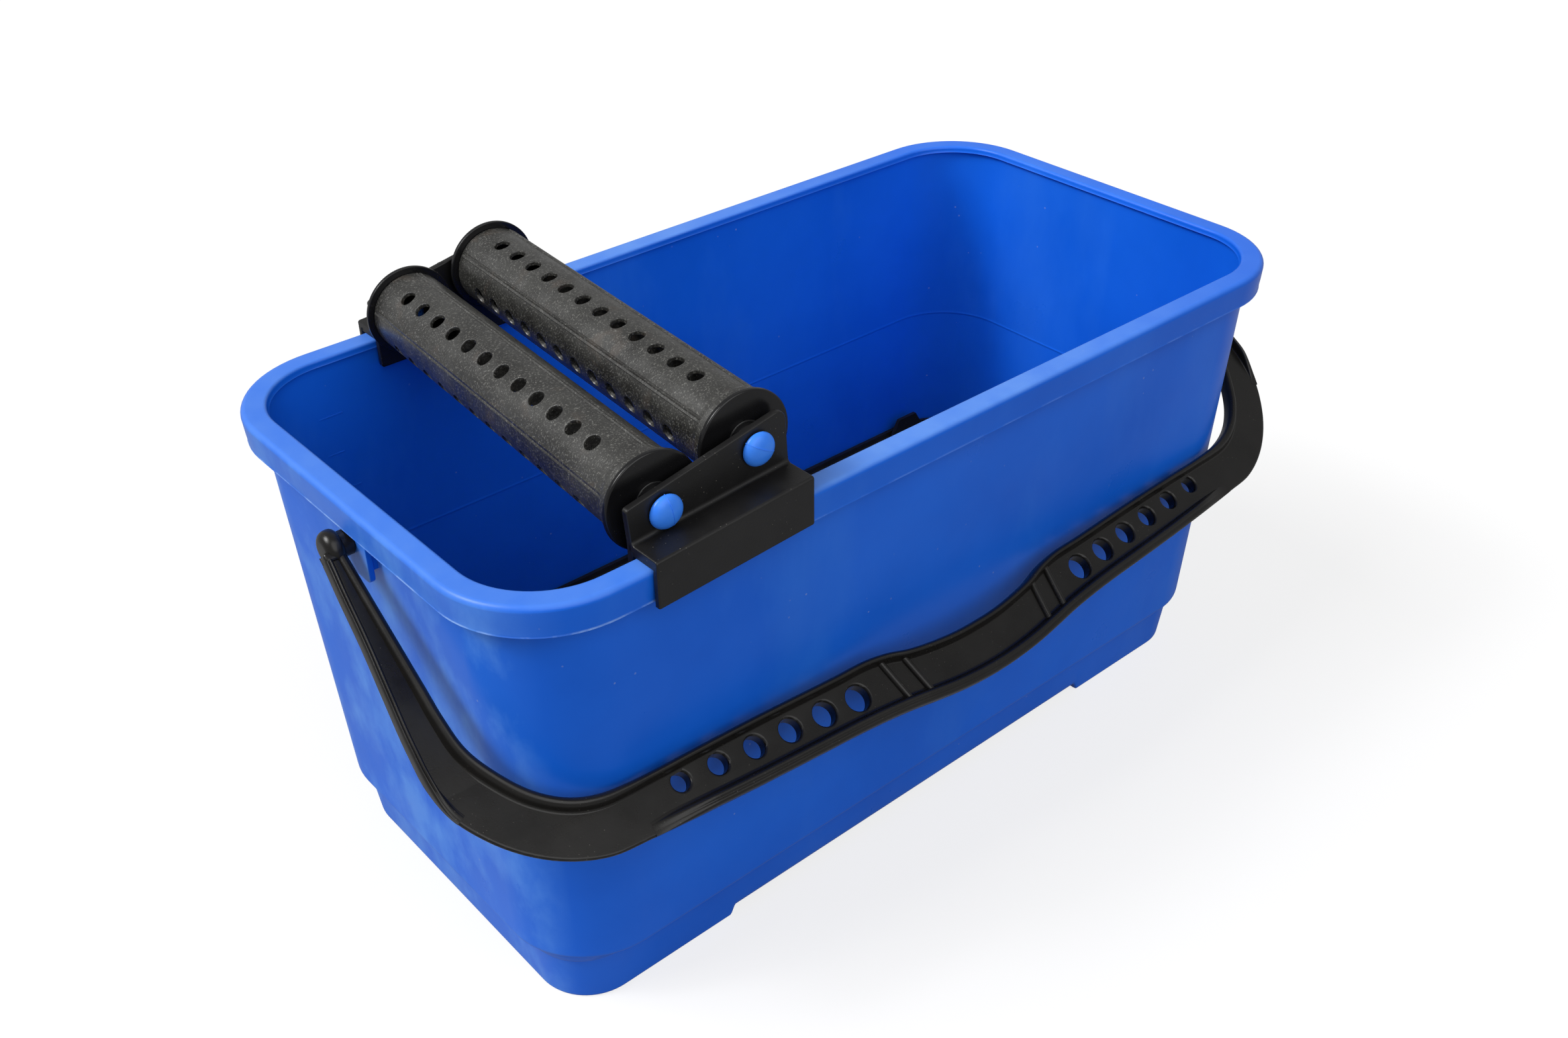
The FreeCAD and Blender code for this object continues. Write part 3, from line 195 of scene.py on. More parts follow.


# %% [markdown]
# ## Plastics
#
# The bucket is all moulded plastic, and no moulded plastic is one flat colour. Its pigment
# drifts a little, its skin has a fine grain that breaks up the highlights, and use leaves dust and
# scuffs. On the tub some paler blue is painted light as well: reflection streaks, a sheen and a
# highlight. All of this comes from noise in the shader, laid out in the object's own metres, so
# that it stays on the plastic whichever way the bucket is seen.

# %% Noise that varies a finish
def add_node(tree, kind, **settings):
    """A new shader node with its settings."""
    node = tree.nodes.new(kind)
    for name, value in settings.items():
        setattr(node, name, value)
    return node


def noise_fac(tree, scale, detail=3.0, roughness=0.55, stretch=(1, 1, 1), distortion=0.0):
    """A noise value laid out in the object's own space; scale is in waves per metre."""
    place = add_node(tree, "ShaderNodeTexCoord")
    mapping = add_node(tree, "ShaderNodeMapping")
    mapping.inputs["Scale"].default_value = stretch
    tree.links.new(place.outputs["Object"], mapping.inputs["Vector"])
    noise = add_node(tree, "ShaderNodeTexNoise")
    for socket, number in (("Scale", scale), ("Detail", detail),
                           ("Roughness", roughness), ("Distortion", distortion)):
        noise.inputs[socket].default_value = number
    tree.links.new(mapping.outputs["Vector"], noise.inputs["Vector"])
    return noise.outputs["Fac"]


def remap(tree, value, low, high, new_low, new_high):
    """Stretch part of a value's range over another range."""
    node = add_node(tree, "ShaderNodeMapRange")
    tree.links.new(value, node.inputs["Value"])
    for socket, number in (("From Min", low), ("From Max", high),
                           ("To Min", new_low), ("To Max", new_high)):
        node.inputs[socket].default_value = number
    return node.outputs["Result"]


def patches(tree, scale, detail, span, shares=(0.0, 1.0), **looks):
    """Noise as soft patches: the first share below the span, the second share above it."""
    return remap(tree, noise_fac(tree, scale, detail, **looks), *span, *shares)


# %% From a material to its shader
def mix_colours(tree, share, first, second):
    """Two colours, or a socket and a colour, mixed by a value."""
    node = add_node(tree, "ShaderNodeMix", data_type="RGBA")
    tree.links.new(share, node.inputs["Factor"])
    for socket, colour in ((node.inputs[6], first), (node.inputs[7], second)):
        if isinstance(colour, tuple):
            socket.default_value = (*colour, 1.0)
        else:
            tree.links.new(colour, socket)
    return node.outputs[2]


def fill_shader(tree, shader, colour, roughness, layers):
    """Colour, roughness and bumps; each bump is a height value and a depth in metres."""
    tree.links.new(colour, shader.inputs["Base Color"])
    tree.links.new(roughness, shader.inputs["Roughness"])
    normal = None
    for height, depth in layers:
        bump = add_node(tree, "ShaderNodeBump")
        bump.inputs["Distance"].default_value = depth
        tree.links.new(height, bump.inputs["Height"])
        if normal is not None:
            tree.links.new(normal, bump.inputs["Normal"])
        normal = bump.outputs["Normal"]
    tree.links.new(normal, shader.inputs["Normal"])


def start_finish(name, gloss):
    """A material whose shader is set up for moulded plastic; gloss is its specular level."""
    material = bpy.data.materials.new(name)
    material.use_nodes = True
    shader = material.node_tree.nodes["Principled BSDF"]
    shader.inputs["IOR"].default_value = 1.5
    shader.inputs["Specular IOR Level"].default_value = gloss
    return material, material.node_tree, shader


# %% [markdown]
# ### Blue tub plastic
#
# Polypropylene with a strong blue pigment: satin, so lamps show as soft vertical streaks rather
# than as sharp spots. Broad noise makes it a little cloudy, as handled plastic is, and sparse
# pale specks stand for lint and dust. Paler blue marks the ends, the rim and the skirt's foot:
# scuffs with painted reflection streaks on the outside of its ends, a painted sheen on top of the
# rim and on its skirt at the ends, and a pale line where the mould closed at the skirt's foot,
# made brighter towards the left end as a painted highlight. The shader finds these places by where
# a point lies and which way it faces.

# %% Values that choose a place
def specks(tree, scale, threshold, softness=0.02):
    """Sparse round specks: the middles of a few random cells."""
    place = add_node(tree, "ShaderNodeTexCoord")
    cells = add_node(tree, "ShaderNodeTexVoronoi")
    cells.inputs["Scale"].default_value = scale
    cells.inputs["Randomness"].default_value = 1.0
    tree.links.new(place.outputs["Object"], cells.inputs["Vector"])
    return remap(tree, cells.outputs["Distance"], threshold, threshold + softness, 1.0, 0.0)


def multiply(tree, first, second):
    """Two values, or a value and a plain number, multiplied."""
    node = add_node(tree, "ShaderNodeMath", operation="MULTIPLY")
    for socket, value in zip(node.inputs, (first, second)):
        if isinstance(value, float):
            socket.default_value = value
        else:
            tree.links.new(value, socket)
    return node.outputs["Value"]


def place_and_facing(tree):
    """Where a point of the plastic lies and which way it faces, as X, Y and Z each."""
    geometry = add_node(tree, "ShaderNodeNewGeometry")
    place = add_node(tree, "ShaderNodeTexCoord")
    where = add_node(tree, "ShaderNodeSeparateXYZ")
    facing = add_node(tree, "ShaderNodeSeparateXYZ")
    tree.links.new(place.outputs["Object"], where.inputs["Vector"])
    tree.links.new(geometry.outputs["Normal"], facing.inputs["Vector"])
    return where.outputs, facing.outputs


# %% Places of wear and painted light on the tub
# Heights in metres, each from where a band starts to where it is full
FLASH_FOOT, FLASH_TOP = (0.2514, 0.2518), (0.2525, 0.2530)
RIM_TOP, SKIRT_FOOT = (0.258, 0.263), (0.2525, 0.2535)


def flash_line_and_highlight(tree):
    """A fine band along the foot of the skirt: the pale flash line the mould left, with a painted
    highlight towards the left end.
    """
    where, facing = place_and_facing(tree)
    above = remap(tree, where["Z"], *FLASH_FOOT, 0.0, 1.0)
    band = multiply(tree, above, remap(tree, where["Z"], *FLASH_TOP, 1.0, 0.0))
    outward = add_node(tree, "ShaderNodeMath", operation="ADD")
    tree.links.new(multiply(tree, where["X"], facing["X"]), outward.inputs[0])
    tree.links.new(multiply(tree, where["Y"], facing["Y"]), outward.inputs[1])
    band = multiply(tree, band, remap(tree, outward.outputs["Value"], 0.0, 0.01, 0.0, 1.0))
    # Strongest towards the left end, where the line's brightness is a painted highlight.
    return multiply(tree, band, remap(tree, where["X"], -0.24, -0.08, 1.0, 0.2))


def end_scuffs_and_reflections(tree):
    """1 where the plastic faces the tub's ends from outside: its scuffs and painted reflection
    streaks.
    """
    where, facing = place_and_facing(tree)
    return remap(tree, multiply(tree, where["X"], facing["X"]), 0.16, 0.24, 0.0, 1.0)


def rim_painted_sheen(tree):
    """Where a pale sheen is painted on the rim: on its top, and on its skirt at the ends."""
    where, facing = place_and_facing(tree)
    top = multiply(tree, remap(tree, where["Z"], *RIM_TOP, 0.0, 1.0),
                   remap(tree, facing["Z"], 0.35, 0.85, 0.0, 1.0))
    # The painted sheen on top is fullest from the left end to the middle and fades to the right.
    top = multiply(tree, top, remap(tree, where["X"], -0.22, -0.10, 0.62, 1.0))
    top = multiply(tree, top, remap(tree, where["X"], 0.02, 0.22, 1.0, 0.25))
    ends = remap(tree, multiply(tree, where["X"], facing["X"]), 0.10, 0.20, 0.0, 0.3)
    skirt = multiply(tree, remap(tree, where["Z"], *SKIRT_FOOT, 0.0, 1.0), ends)
    return top, skirt


# %% Mix the blues
DEEP_BLUE, CLOUDY_BLUE = (0.005, 0.118, 0.700), (0.009, 0.146, 0.800)
SMEARED_BLUE, SCUFF_AND_REFLECTION_BLUE = (0.030, 0.190, 0.800), (0.10, 0.31, 0.88)
RIM_SHEEN_BLUE, FLASH_HIGHLIGHT_BLUE, PALE_DUST = (0.115, 0.285, 0.80), (0.30, 0.50, 0.95), (0.25, 0.35, 0.7)
PIN_BLUE, PIN_PALE = (0.036, 0.235, 1.0), (0.050, 0.265, 1.0)


def mix_tub_blue():
    """Cloudy blue with smears, dust, ends with scuffs and painted reflections, a painted sheen on
    the rim and a pale flash line with a painted highlight.
    """
    material, tree, shader = start_finish("tub_blue_plastic", 0.22)
    cloud = patches(tree, 9, 4, (0.35, 0.7))
    colour = mix_colours(tree, cloud, DEEP_BLUE, CLOUDY_BLUE)
    smear = patches(tree, 14, 5, (0.52, 0.76), (0.0, 0.5), roughness=0.6, stretch=(1, 1, 0.35))
    colour = mix_colours(tree, smear, colour, SMEARED_BLUE)
    # Paler blue on the outer ends: scuffs, and painted reflection streaks.
    scuffs_and_reflections = patches(tree, 30, 5, (0.46, 0.68), (0.12, 0.80), roughness=0.6, stretch=(1, 1, 0.6))
    colour = mix_colours(tree, multiply(tree, end_scuffs_and_reflections(tree), scuffs_and_reflections), colour, SCUFF_AND_REFLECTION_BLUE)
    dusty = patches(tree, 30, 3, (0.52, 0.6), (0.0, 0.5))
    dust = multiply(tree, specks(tree, 95, 0.045), dusty)
    colour = mix_colours(tree, dust, colour, PALE_DUST)
    # Painted sheen: paler blue on the rim's top and on its skirt at the ends.
    for rim_sheen_mask in rim_painted_sheen(tree):
        patchy = patches(tree, 45, 4, (0.3, 0.65), (0.7, 1.0))
        colour = mix_colours(tree, multiply(tree, rim_sheen_mask, patchy), colour, RIM_SHEEN_BLUE)
    # The pale flash line, brighter to the left as a painted highlight.
    broken = patches(tree, 60, 4, (0.45, 0.6), (0.1, 0.8))
    colour = mix_colours(tree, multiply(tree, flash_line_and_highlight(tree), broken), colour, FLASH_HIGHLIGHT_BLUE)
    fine_grain, slow_waves = noise_fac(tree, 1500, 2), noise_fac(tree, 26, 2)
    fill_shader(tree, shader, colour, patches(tree, 22, 5, (0.3, 0.7), (0.27, 0.40)),
                ((fine_grain, 0.000010), (slow_waves, 0.00012)))
    return material


def mix_pin_blue():
    """The push pins' brighter and glossier blue."""
    material, tree, shader = start_finish("pin_blue_plastic", 0.4)
    colour = mix_colours(tree, patches(tree, 240, 3, (0.3, 0.7)), PIN_BLUE, PIN_PALE)
    fill_shader(tree, shader, colour, patches(tree, 300, 3, (0.3, 0.7), (0.3, 0.42)),
                ((noise_fac(tree, 900, 2), 0.00001),))
    return material


# %% [markdown]
# ### Black plastics
#
# Black plastic is never quite black: it is a warm dark grey whose shine tells its shape. The
# handle and brackets are satin with sparse specks of dust. The rollers are older: water and grit
# have worn them to a blotchy olive grey with a dry, uneven shine.

# %% Mix the blacks
GREY_DUST = (0.16, 0.15, 0.13)


def mix_black(name, dark, pale, rough, dusty, grain=1300, grain_depth=0.00002):
    """A black between two tones; rough is its lowest and highest roughness."""
    material, tree, shader = start_finish(name, 0.36)
    colour = mix_colours(tree, patches(tree, 35, 4, (0.35, 0.68)), dark, pale)
    dust = multiply(tree, specks(tree, 420, 0.07, 0.04),
                    patches(tree, 45, 3, (0.48, 0.62), (0.0, dusty)))
    colour = mix_colours(tree, dust, colour, GREY_DUST)
    fill_shader(tree, shader, colour, patches(tree, 60, 5, (0.3, 0.7), rough),
                ((noise_fac(tree, grain, 2), grain_depth),))
    return material


# %% Mix the rollers' worn grey
FRESH_SKIN, WORN_SKIN = (0.010, 0.0096, 0.0085), (0.030, 0.0298, 0.027)
BROWN_STAIN, PALE_GRIT = (0.062, 0.044, 0.032), (0.20, 0.198, 0.182)


def mix_roller_grey():
    """Blotches where the skin is worn, brownish stains and a fine pale grit over a black skin."""
    material, tree, shader = start_finish("worn_roller_plastic", 0.8)
    blotch = patches(tree, 38, 6, (0.36, 0.66), roughness=0.65)
    colour = mix_colours(tree, blotch, FRESH_SKIN, WORN_SKIN)
    stain = patches(tree, 70, 3, (0.60, 0.74), (0.0, 0.5), roughness=0.5, distortion=0.4)
    colour = mix_colours(tree, stain, colour, BROWN_STAIN)
    grit = patches(tree, 1100, 4, (0.54, 0.68), (0.0, 0.8), roughness=0.7)
    colour = mix_colours(tree, grit, colour, PALE_GRIT)
    uneven_shine = patches(tree, 70, 6, (0.3, 0.7), (0.26, 0.46), roughness=0.65)
    fine_grain, pitting = noise_fac(tree, 1400, 3), noise_fac(tree, 160, 4)
    fill_shader(tree, shader, colour, uneven_shine, ((fine_grain, 0.00004), (pitting, 0.00004)))
    return material


# %% All finishes of the bucket
tub_blue = mix_tub_blue()
pin_blue = mix_pin_blue()
handle_black = mix_black("handle_black_plastic", (0.0065, 0.0060, 0.0055),
                         (0.010, 0.009, 0.008), rough=(0.22, 0.36), dusty=0.5)
bracket_black = mix_black("bracket_black_plastic", (0.0065, 0.0063, 0.0066),
                          (0.010, 0.0098, 0.010), rough=(0.32, 0.46), dusty=0.9,
                          grain=1000, grain_depth=0.00004)
cap_black = mix_black("cap_black_plastic", (0.0060, 0.0060, 0.0065),
                      (0.009, 0.009, 0.010), rough=(0.18, 0.30), dusty=0.2)
grid_black = mix_black("grid_black_plastic", (0.010, 0.010, 0.010),
                       (0.018, 0.018, 0.017), rough=(0.45, 0.6), dusty=0.4)
roller_grey = mix_roller_grey()
print("finishes:", [material.name for material in bpy.data.materials])

# %% [markdown]
# ## The tub
#
# The tub is one moulding with a wall of even thickness, a rolled rim whose skirt hangs free, and a
# stepped base. Seen from above every level of it is a rounded rectangle. So the whole skin is one
# list of levels, from the floor inside, up the wall, over the rim, under the skirt and down to the
# foot. Extra levels close together make the small roundings that catch the light.

# %% Rounded rectangles, level by level
# Half the length, half the width and the corner radius of each level, in millimetres
RIM = (267.5, 137.3, 55.0)
WALL = (259.4, 130.05, 47.3)
FOOT = (249.9, 120.55, 47.3)
BASE = (242.7, 111.45, 30.0)
WALL_SKIN = 3.2
RAISE_END, RAISE_SLOPE, RAISE = 141.0, 4.0, 5.8
CORNER_STEPS = 18
ALONG = (-180, -160, -146, -142.5, -141, -140, -139, -138, -137, -135.5, -130, -110, -90, -70, -50,
         -30, -10)
ALONG = ALONG + tuple(-place for place in reversed(ALONG))
ACROSS = (-66, -44, -22, 0, 22, 44, 66)


def level_ring(size, inset, height):
    """Points round one level; the height may depend on the place along X."""
    half_x, half_y, radius = (value - inset for value in size)
    radius = max(radius, 1.0)
    near_x, near_y = half_x - radius, half_y - radius
    flat = [(-near_x, -half_y)] + [(x, -half_y) for x in ALONG] + [(near_x, -half_y)]
    corners = ((near_x, -near_y, -90), (near_x, near_y, 0), (-near_x, near_y, 90),
               (-near_x, -near_y, 180))
    sides = (
        flat,
        [(half_x, -near_y)] + [(half_x, y) for y in ACROSS] + [(half_x, near_y)],
        [(-x, half_y) for x, _ in flat],
        [(-half_x, near_y)] + [(-half_x, -y) for y in ACROSS] + [(-half_x, -near_y)],
    )
    outline = []
    for side, (middle_x, middle_y, start) in zip(sides, corners):
        outline += side
        for step in range(1, CORNER_STEPS):
            angle = math.radians(start + 90 * step / CORNER_STEPS)
            outline.append((middle_x + radius * math.cos(angle),
                            middle_y + radius * math.sin(angle)))
    lift = height if callable(height) else lambda x: height
    return [(x, y, lift(x)) for x, y in outline]


def ease(value):
    """From 0 to 1 with a soft start and finish."""
    value = min(max(value, 0.0), 1.0)
    return value * value * (3 - 2 * value)


def raised(height):
    """A level that follows the raised middle of the base."""
    return lambda x: height + RAISE * ease((RAISE_END - abs(x)) / RAISE_SLOPE)


# %% Sizes between the levels
BASE_FOOT, BASE_TOP = 2.4, 31.0
WALL_FOOT, WALL_TOP = 37.0, 266.0
BASE_LEAN = 2.45


def between(low, high, low_height, high_height, height):
    """A size on a leaning wall between two levels."""
    share = (height - low_height) / (high_height - low_height)
    return tuple(a + (b - a) * share for a, b in zip(low, high))


def wall_at(height):
    """The outside of the leaning wall at a height."""
    return between(FOOT, WALL, WALL_FOOT, WALL_TOP, height)


def base_at(height):
    """The outside of the stepped base at a height."""
    foot = tuple(value - BASE_LEAN for value in BASE[:2]) + (BASE[2],)
    return between(foot, BASE, BASE_FOOT, BASE_TOP, height)


def arc_levels(size, inset, height, radius, start, finish, steps=5):
    """Levels round an edge: the middle of the rounding lies at an inset and a height."""
    levels = []
    for step in range(steps + 1):
        angle = math.radians(start + (finish - start) * step / steps)
        levels.append((size, inset - radius * math.cos(angle), height + radius * math.sin(angle)))
    return levels


# %% The levels inside
# Each level is a size, how far the skin lies inside it, and a height
WATER_LINE = 150.0
LIP_INSET, LIP_ROUND = 12.95, 1.9
inside = [
    (base_at(BASE_FOOT), WALL_SKIN + 3.0, raised(3.2)),
    (base_at(BASE_FOOT), WALL_SKIN + 1.0, raised(3.7)),
    (base_at(BASE_FOOT), WALL_SKIN, raised(5.4)),
    (base_at(20.0), WALL_SKIN, 20.0),
    (BASE, WALL_SKIN + 0.6, 39.0),
    (BASE, WALL_SKIN, 39.8),
    (BASE, WALL_SKIN - 0.8, 40.0),
    (wall_at(40.0), WALL_SKIN + 0.9, 40.0),
    (wall_at(40.0), WALL_SKIN, 40.9),
    (wall_at(95.0), WALL_SKIN, 95.0),
    (wall_at(WATER_LINE), WALL_SKIN, WATER_LINE - 1.6),
    (wall_at(WATER_LINE), WALL_SKIN, WATER_LINE - 0.7),
    (wall_at(WATER_LINE), WALL_SKIN + 0.30, WATER_LINE - 0.3),
    (wall_at(WATER_LINE), WALL_SKIN + 0.30, WATER_LINE + 0.3),
    (wall_at(WATER_LINE), WALL_SKIN, WATER_LINE + 0.7),
    (wall_at(WATER_LINE), WALL_SKIN, WATER_LINE + 1.6),
    (wall_at(205.0), WALL_SKIN, 205.0),
    (wall_at(262.0), WALL_SKIN, 262.2),
    (wall_at(263.0), WALL_SKIN + 0.15, 263.2),
    (RIM, LIP_INSET + 0.5, 264.3),
    (RIM, LIP_INSET, 265.2),
]
print("levels inside the tub:", len(inside))

# %% The levels of the rim
lip = arc_levels(RIM, LIP_INSET - LIP_ROUND, 266.1, LIP_ROUND, 180, 90)
top = [(RIM, 9.0, 268.0), (RIM, 5.0, 268.0)]
outer_edge = arc_levels(RIM, 3.0, 265.0, 3.0, 90, 0, 7)
skirt = [
    (RIM, 0.45, 258.0),
    (RIM, 1.0, 252.9),
    (RIM, 0.72, 252.3),
    (RIM, 0.80, 251.9),
    (RIM, 1.35, 251.8),
    (RIM, 3.8, 251.8),
    (RIM, 4.1, 252.1),
    (RIM, 4.1, 263.4),
]
print("levels of the rim:", len(lip + top + outer_edge + skirt))

# %% The levels outside
STEP_ROUND, FOOT_ROUND = 3.2, 2.4
outside = [
    (wall_at(264.0), -0.6, 264.0),
    (wall_at(263.4), 0.0, 263.4),
    (wall_at(225.0), 0.0, 225.0),
    (wall_at(150.0), 0.0, 150.0),
    (wall_at(80.0), 0.0, 80.0),
    (wall_at(41.0), 0.0, 41.0),
] + arc_levels(wall_at(40.0), STEP_ROUND, 40.2, STEP_ROUND, 0, -70) + [
    (BASE, -1.6, 33.0),
    (BASE, -0.5, 31.8),
    (BASE, 0.0, 30.4),
    (base_at(20.0), 0.0, 20.0),
    (base_at(9.5), 0.0, 9.5),
]
for degrees in (0, 22, 45, 68, 90):
    angle = math.radians(degrees)
    outside.append((base_at(BASE_FOOT), FOOT_ROUND - FOOT_ROUND * math.cos(angle),
                    raised(FOOT_ROUND - FOOT_ROUND * math.sin(angle))))
outside.append((base_at(BASE_FOOT), 8.0, raised(0.0)))
print("levels outside the tub:", len(outside))


# %% Skin the tub
def close_level(first, count):
    """Faces across a level: strips between the long sides and one face at each end."""
    long_side = len(ALONG) + 2
    short_side = len(ACROSS) + 2
    front = [first + place for place in range(long_side)]
    back_start = first + long_side + short_side + 2 * (CORNER_STEPS - 1)
    back = [back_start + long_side - 1 - place for place in range(long_side)]
    faces = [(front[i], front[i + 1], back[i + 1], back[i]) for i in range(long_side - 1)]
    right = tuple(range(front[-1], back[-1] + 1))
    left = tuple(range(back[0], first + count)) + (front[0],)
    return faces + [right, left]


levels = inside + lip + top + outer_edge + skirt + outside
rows = [level_ring(size, inset, height) for size, inset, height in levels]
points, faces = skin_rows(rows)
ring_size = len(rows[0])
faces += close_level(0, ring_size)
faces += close_level((len(rows) - 1) * ring_size, ring_size)
tub_shell = make_mesh("tub_shell", points, faces, 40)
print("tub:", len(levels), "levels of", ring_size, "points")

# %% [markdown]
# ### Lugs and marks
#
# Under each end of the rim hangs a lug: a plate with a hole for the handle's peg, tied to the wall
# by two ribs. A flat outline filled by a 2D curve gives such a plate with its hole and its rounded
# edges in one go, which is why the plates below are curves first and meshes after.

# %% Plates from flat outlines
def flat_plate(name, outlines, thickness, edge, crease=CREASE):
    """A plate centred on the XY plane with rounded edges; inner outlines are holes."""
    curve = bpy.data.curves.new(name, "CURVE")
    curve.dimensions = "2D"
    curve.fill_mode = "BOTH"
    curve.extrude = (thickness / 2 - edge) * MM
    curve.bevel_depth = edge * MM
    curve.bevel_resolution = 2
    curve.offset = -edge * MM
    for outline in outlines:
        spline = curve.splines.new("POLY")
        spline.points.add(len(outline) - 1)
        for point, (x, y) in zip(spline.points, outline):
            point.co = (x * MM, y * MM, 0, 1)
        spline.use_cyclic_u = True
    holder = bpy.data.objects.new(name, curve)
    bpy.context.scene.collection.objects.link(holder)
    bpy.context.view_layer.update()
    made = holder.evaluated_get(bpy.context.evaluated_depsgraph_get())
    mesh = bpy.data.meshes.new_from_object(made)
    bpy.data.objects.remove(holder)
    bpy.data.curves.remove(curve)
    return tidy_mesh(mesh, crease)


def circle_outline(x, y, radius, steps):
    """Points round a circle."""
    turns = [math.radians(360.0 * step / steps) for step in range(steps)]
    return [(x + radius * math.cos(turn), y + radius * math.sin(turn)) for turn in turns]


def placed(mesh, matrix):
    """The mesh moved by a matrix whose shift is in millimetres."""
    moved = matrix.copy()
    moved.translation = matrix.translation * MM
    mesh.transform(moved)
    if matrix.determinant() < 0:
        mesh.flip_normals()
    return mesh


def block(low, high, edge, steps=2):
    """A box between two corners with rounded edges."""
    box = bmesh.new()
    bmesh.ops.create_cube(box, size=1.0)
    for vertex in box.verts:
        vertex.co = Vector((a if v < 0 else b) * MM for v, a, b in zip(vertex.co, low, high))
    bmesh.ops.bevel(box, geom=box.edges[:], offset=edge * MM, segments=steps, profile=0.5,
                    affect="EDGES", clamp_overlap=True)
    mesh = bpy.data.meshes.new("block")
    box.to_mesh(mesh)
    box.free()
    return tidy_mesh(mesh, 50)


# %% Lugs at both ends
PIVOT = 245.0
LUG_FACE, LUG_SKIN, LUG_HALF = 264.0, 3.0, 14.0
LUG_FOOT, LUG_TOP, LUG_HOLE = 227.5, 266.0, 5.1
LUG_RIB_FOOT, LUG_RIB_START, LUG_RIB_SIDES = 233.0, 257.0, (9.5, 12.0)


def lug(side):
    """The lug's plate is drawn with X across the tub and Y up, then stood on end."""
    corners = [(-LUG_HALF, LUG_FOOT), (LUG_HALF, LUG_FOOT),
               (LUG_HALF, LUG_TOP), (-LUG_HALF, LUG_TOP)]
    outline = rounded(corners, {0: 3.0, 1: 3.0})
    hole = circle_outline(0, PIVOT, LUG_HOLE, 32)
    plate = flat_plate("lug", [outline, hole], LUG_SKIN, 0.6)
    middle = LUG_FACE - LUG_SKIN / 2
    stand = Matrix(((0, 0, side, side * middle), (1, 0, 0, 0), (0, 1, 0, 0), (0, 0, 0, 1)))
    parts = [placed(plate, stand)]
    for sign in (-1, 1):
        faces = sorted(sign * place for place in LUG_RIB_SIDES)
        ends = sorted((side * LUG_RIB_START, side * (LUG_FACE - 1.0)))
        parts.append(block((ends[0], faces[0], LUG_RIB_FOOT), (ends[1], faces[1], LUG_TOP), 0.4))
    return parts


# %% Graduation marks inside
GAUGE_MARKS = ((234.0, -219.5, -202.3), (212.0, -215.6, -205.4), (190.0, -216.5, -200.0))


def gauge_marks():
    """Short raised bars on the inner back wall near the left end: height, start and finish."""
    marks = []
    for height, start, finish in GAUGE_MARKS:
        wall = wall_at(height)[1] - WALL_SKIN
        marks.append(block((start, wall - 0.35, height - 0.5),
                           (finish, wall + 0.5, height + 0.5), 0.15, 1))
    return marks


tub_parts = [tub_shell] + lug(-1) + lug(1) + gauge_marks()
make_piece("tub_moulding", join_meshes("tub", tub_parts), tub_blue, "tub", "tub")

# %% [markdown]
# ## The roller brackets
#
# Each bracket is a clip over the rim: a plate that stands up inside, a shelf over the rim, and a
# skirt down the outside. Shelf and skirt climb to the right, so that the two rollers sit at
# different heights. One cross section, with a real radius in each bend, is drawn from the low end
# to the high end.

# %% Shelf and skirt
PLATE_IN, PLATE_OUT = 120.0, 123.5
SKIRT_IN, SKIRT_OUT = 137.7, 140.9
BRACKET_HALF = 43.5
SHELF_LOW, SHELF_CLIMB = 273.9, 5.4
SKIRT_LOW, SKIRT_CLIMB = 249.9, 4.2
SHELF_SKIN = 3.5


def clip_section(share):
    """The section at a share of the way up: distances from the tub's middle, and heights."""
    shelf = SHELF_LOW + SHELF_CLIMB * share
    foot = SKIRT_LOW + SKIRT_CLIMB * share
    under = shelf - SHELF_SKIN
    inside_plate = PLATE_OUT - 1.5
    corners = [
        (inside_plate, under), (inside_plate, shelf + 2.6), (PLATE_OUT, shelf + 2.4),
        (PLATE_OUT + 0.01, shelf), (SKIRT_OUT, shelf), (SKIRT_OUT, foot), (SKIRT_IN, foot),
        (SKIRT_IN, under),
    ]
    return rounded(corners, {3: 1.9, 4: 1.5, 5: 0.8, 6: 0.5, 7: 0.8})


# %% The clip from end to end
CLIP_ENDS = [(0.0, 0.55), (0.3, 0.18), (0.9, 0.0)]


def bracket_clip(place, side):
    """The clip drawn through sections; those at its ends shrink a little to round it."""
    rows = []
    length = 2 * BRACKET_HALF
    stations = CLIP_ENDS + [(length * step / 6, 0.0) for step in range(1, 6)]
    stations += [(length - run, shrink) for run, shrink in reversed(CLIP_ENDS)]
    for run, shrink in stations:
        section = clip_section(run / length)
        row = []
        count = len(section)
        for index, (away, height) in enumerate(section):
            before = Vector(section[index - 1])
            after = Vector(section[(index + 1) % count])
            along = (after - before).normalized() * shrink
            row.append((place - BRACKET_HALF + run, side * (away + along.y), height - along.x))
        rows.append(row)
    points, faces = skin_rows(rows, capped=True)
    return make_mesh("bracket_clip", points, faces, 40)


# %% The upright plate
PLATE_FOOT, PLATE_LOW_TOP, PLATE_HIGH_TOP = 253.5, 291.4, 307.4
PIN_HOLES, PIN_HOLE = ((-25.45, 283.8), (25.45, 293.5)), 4.4


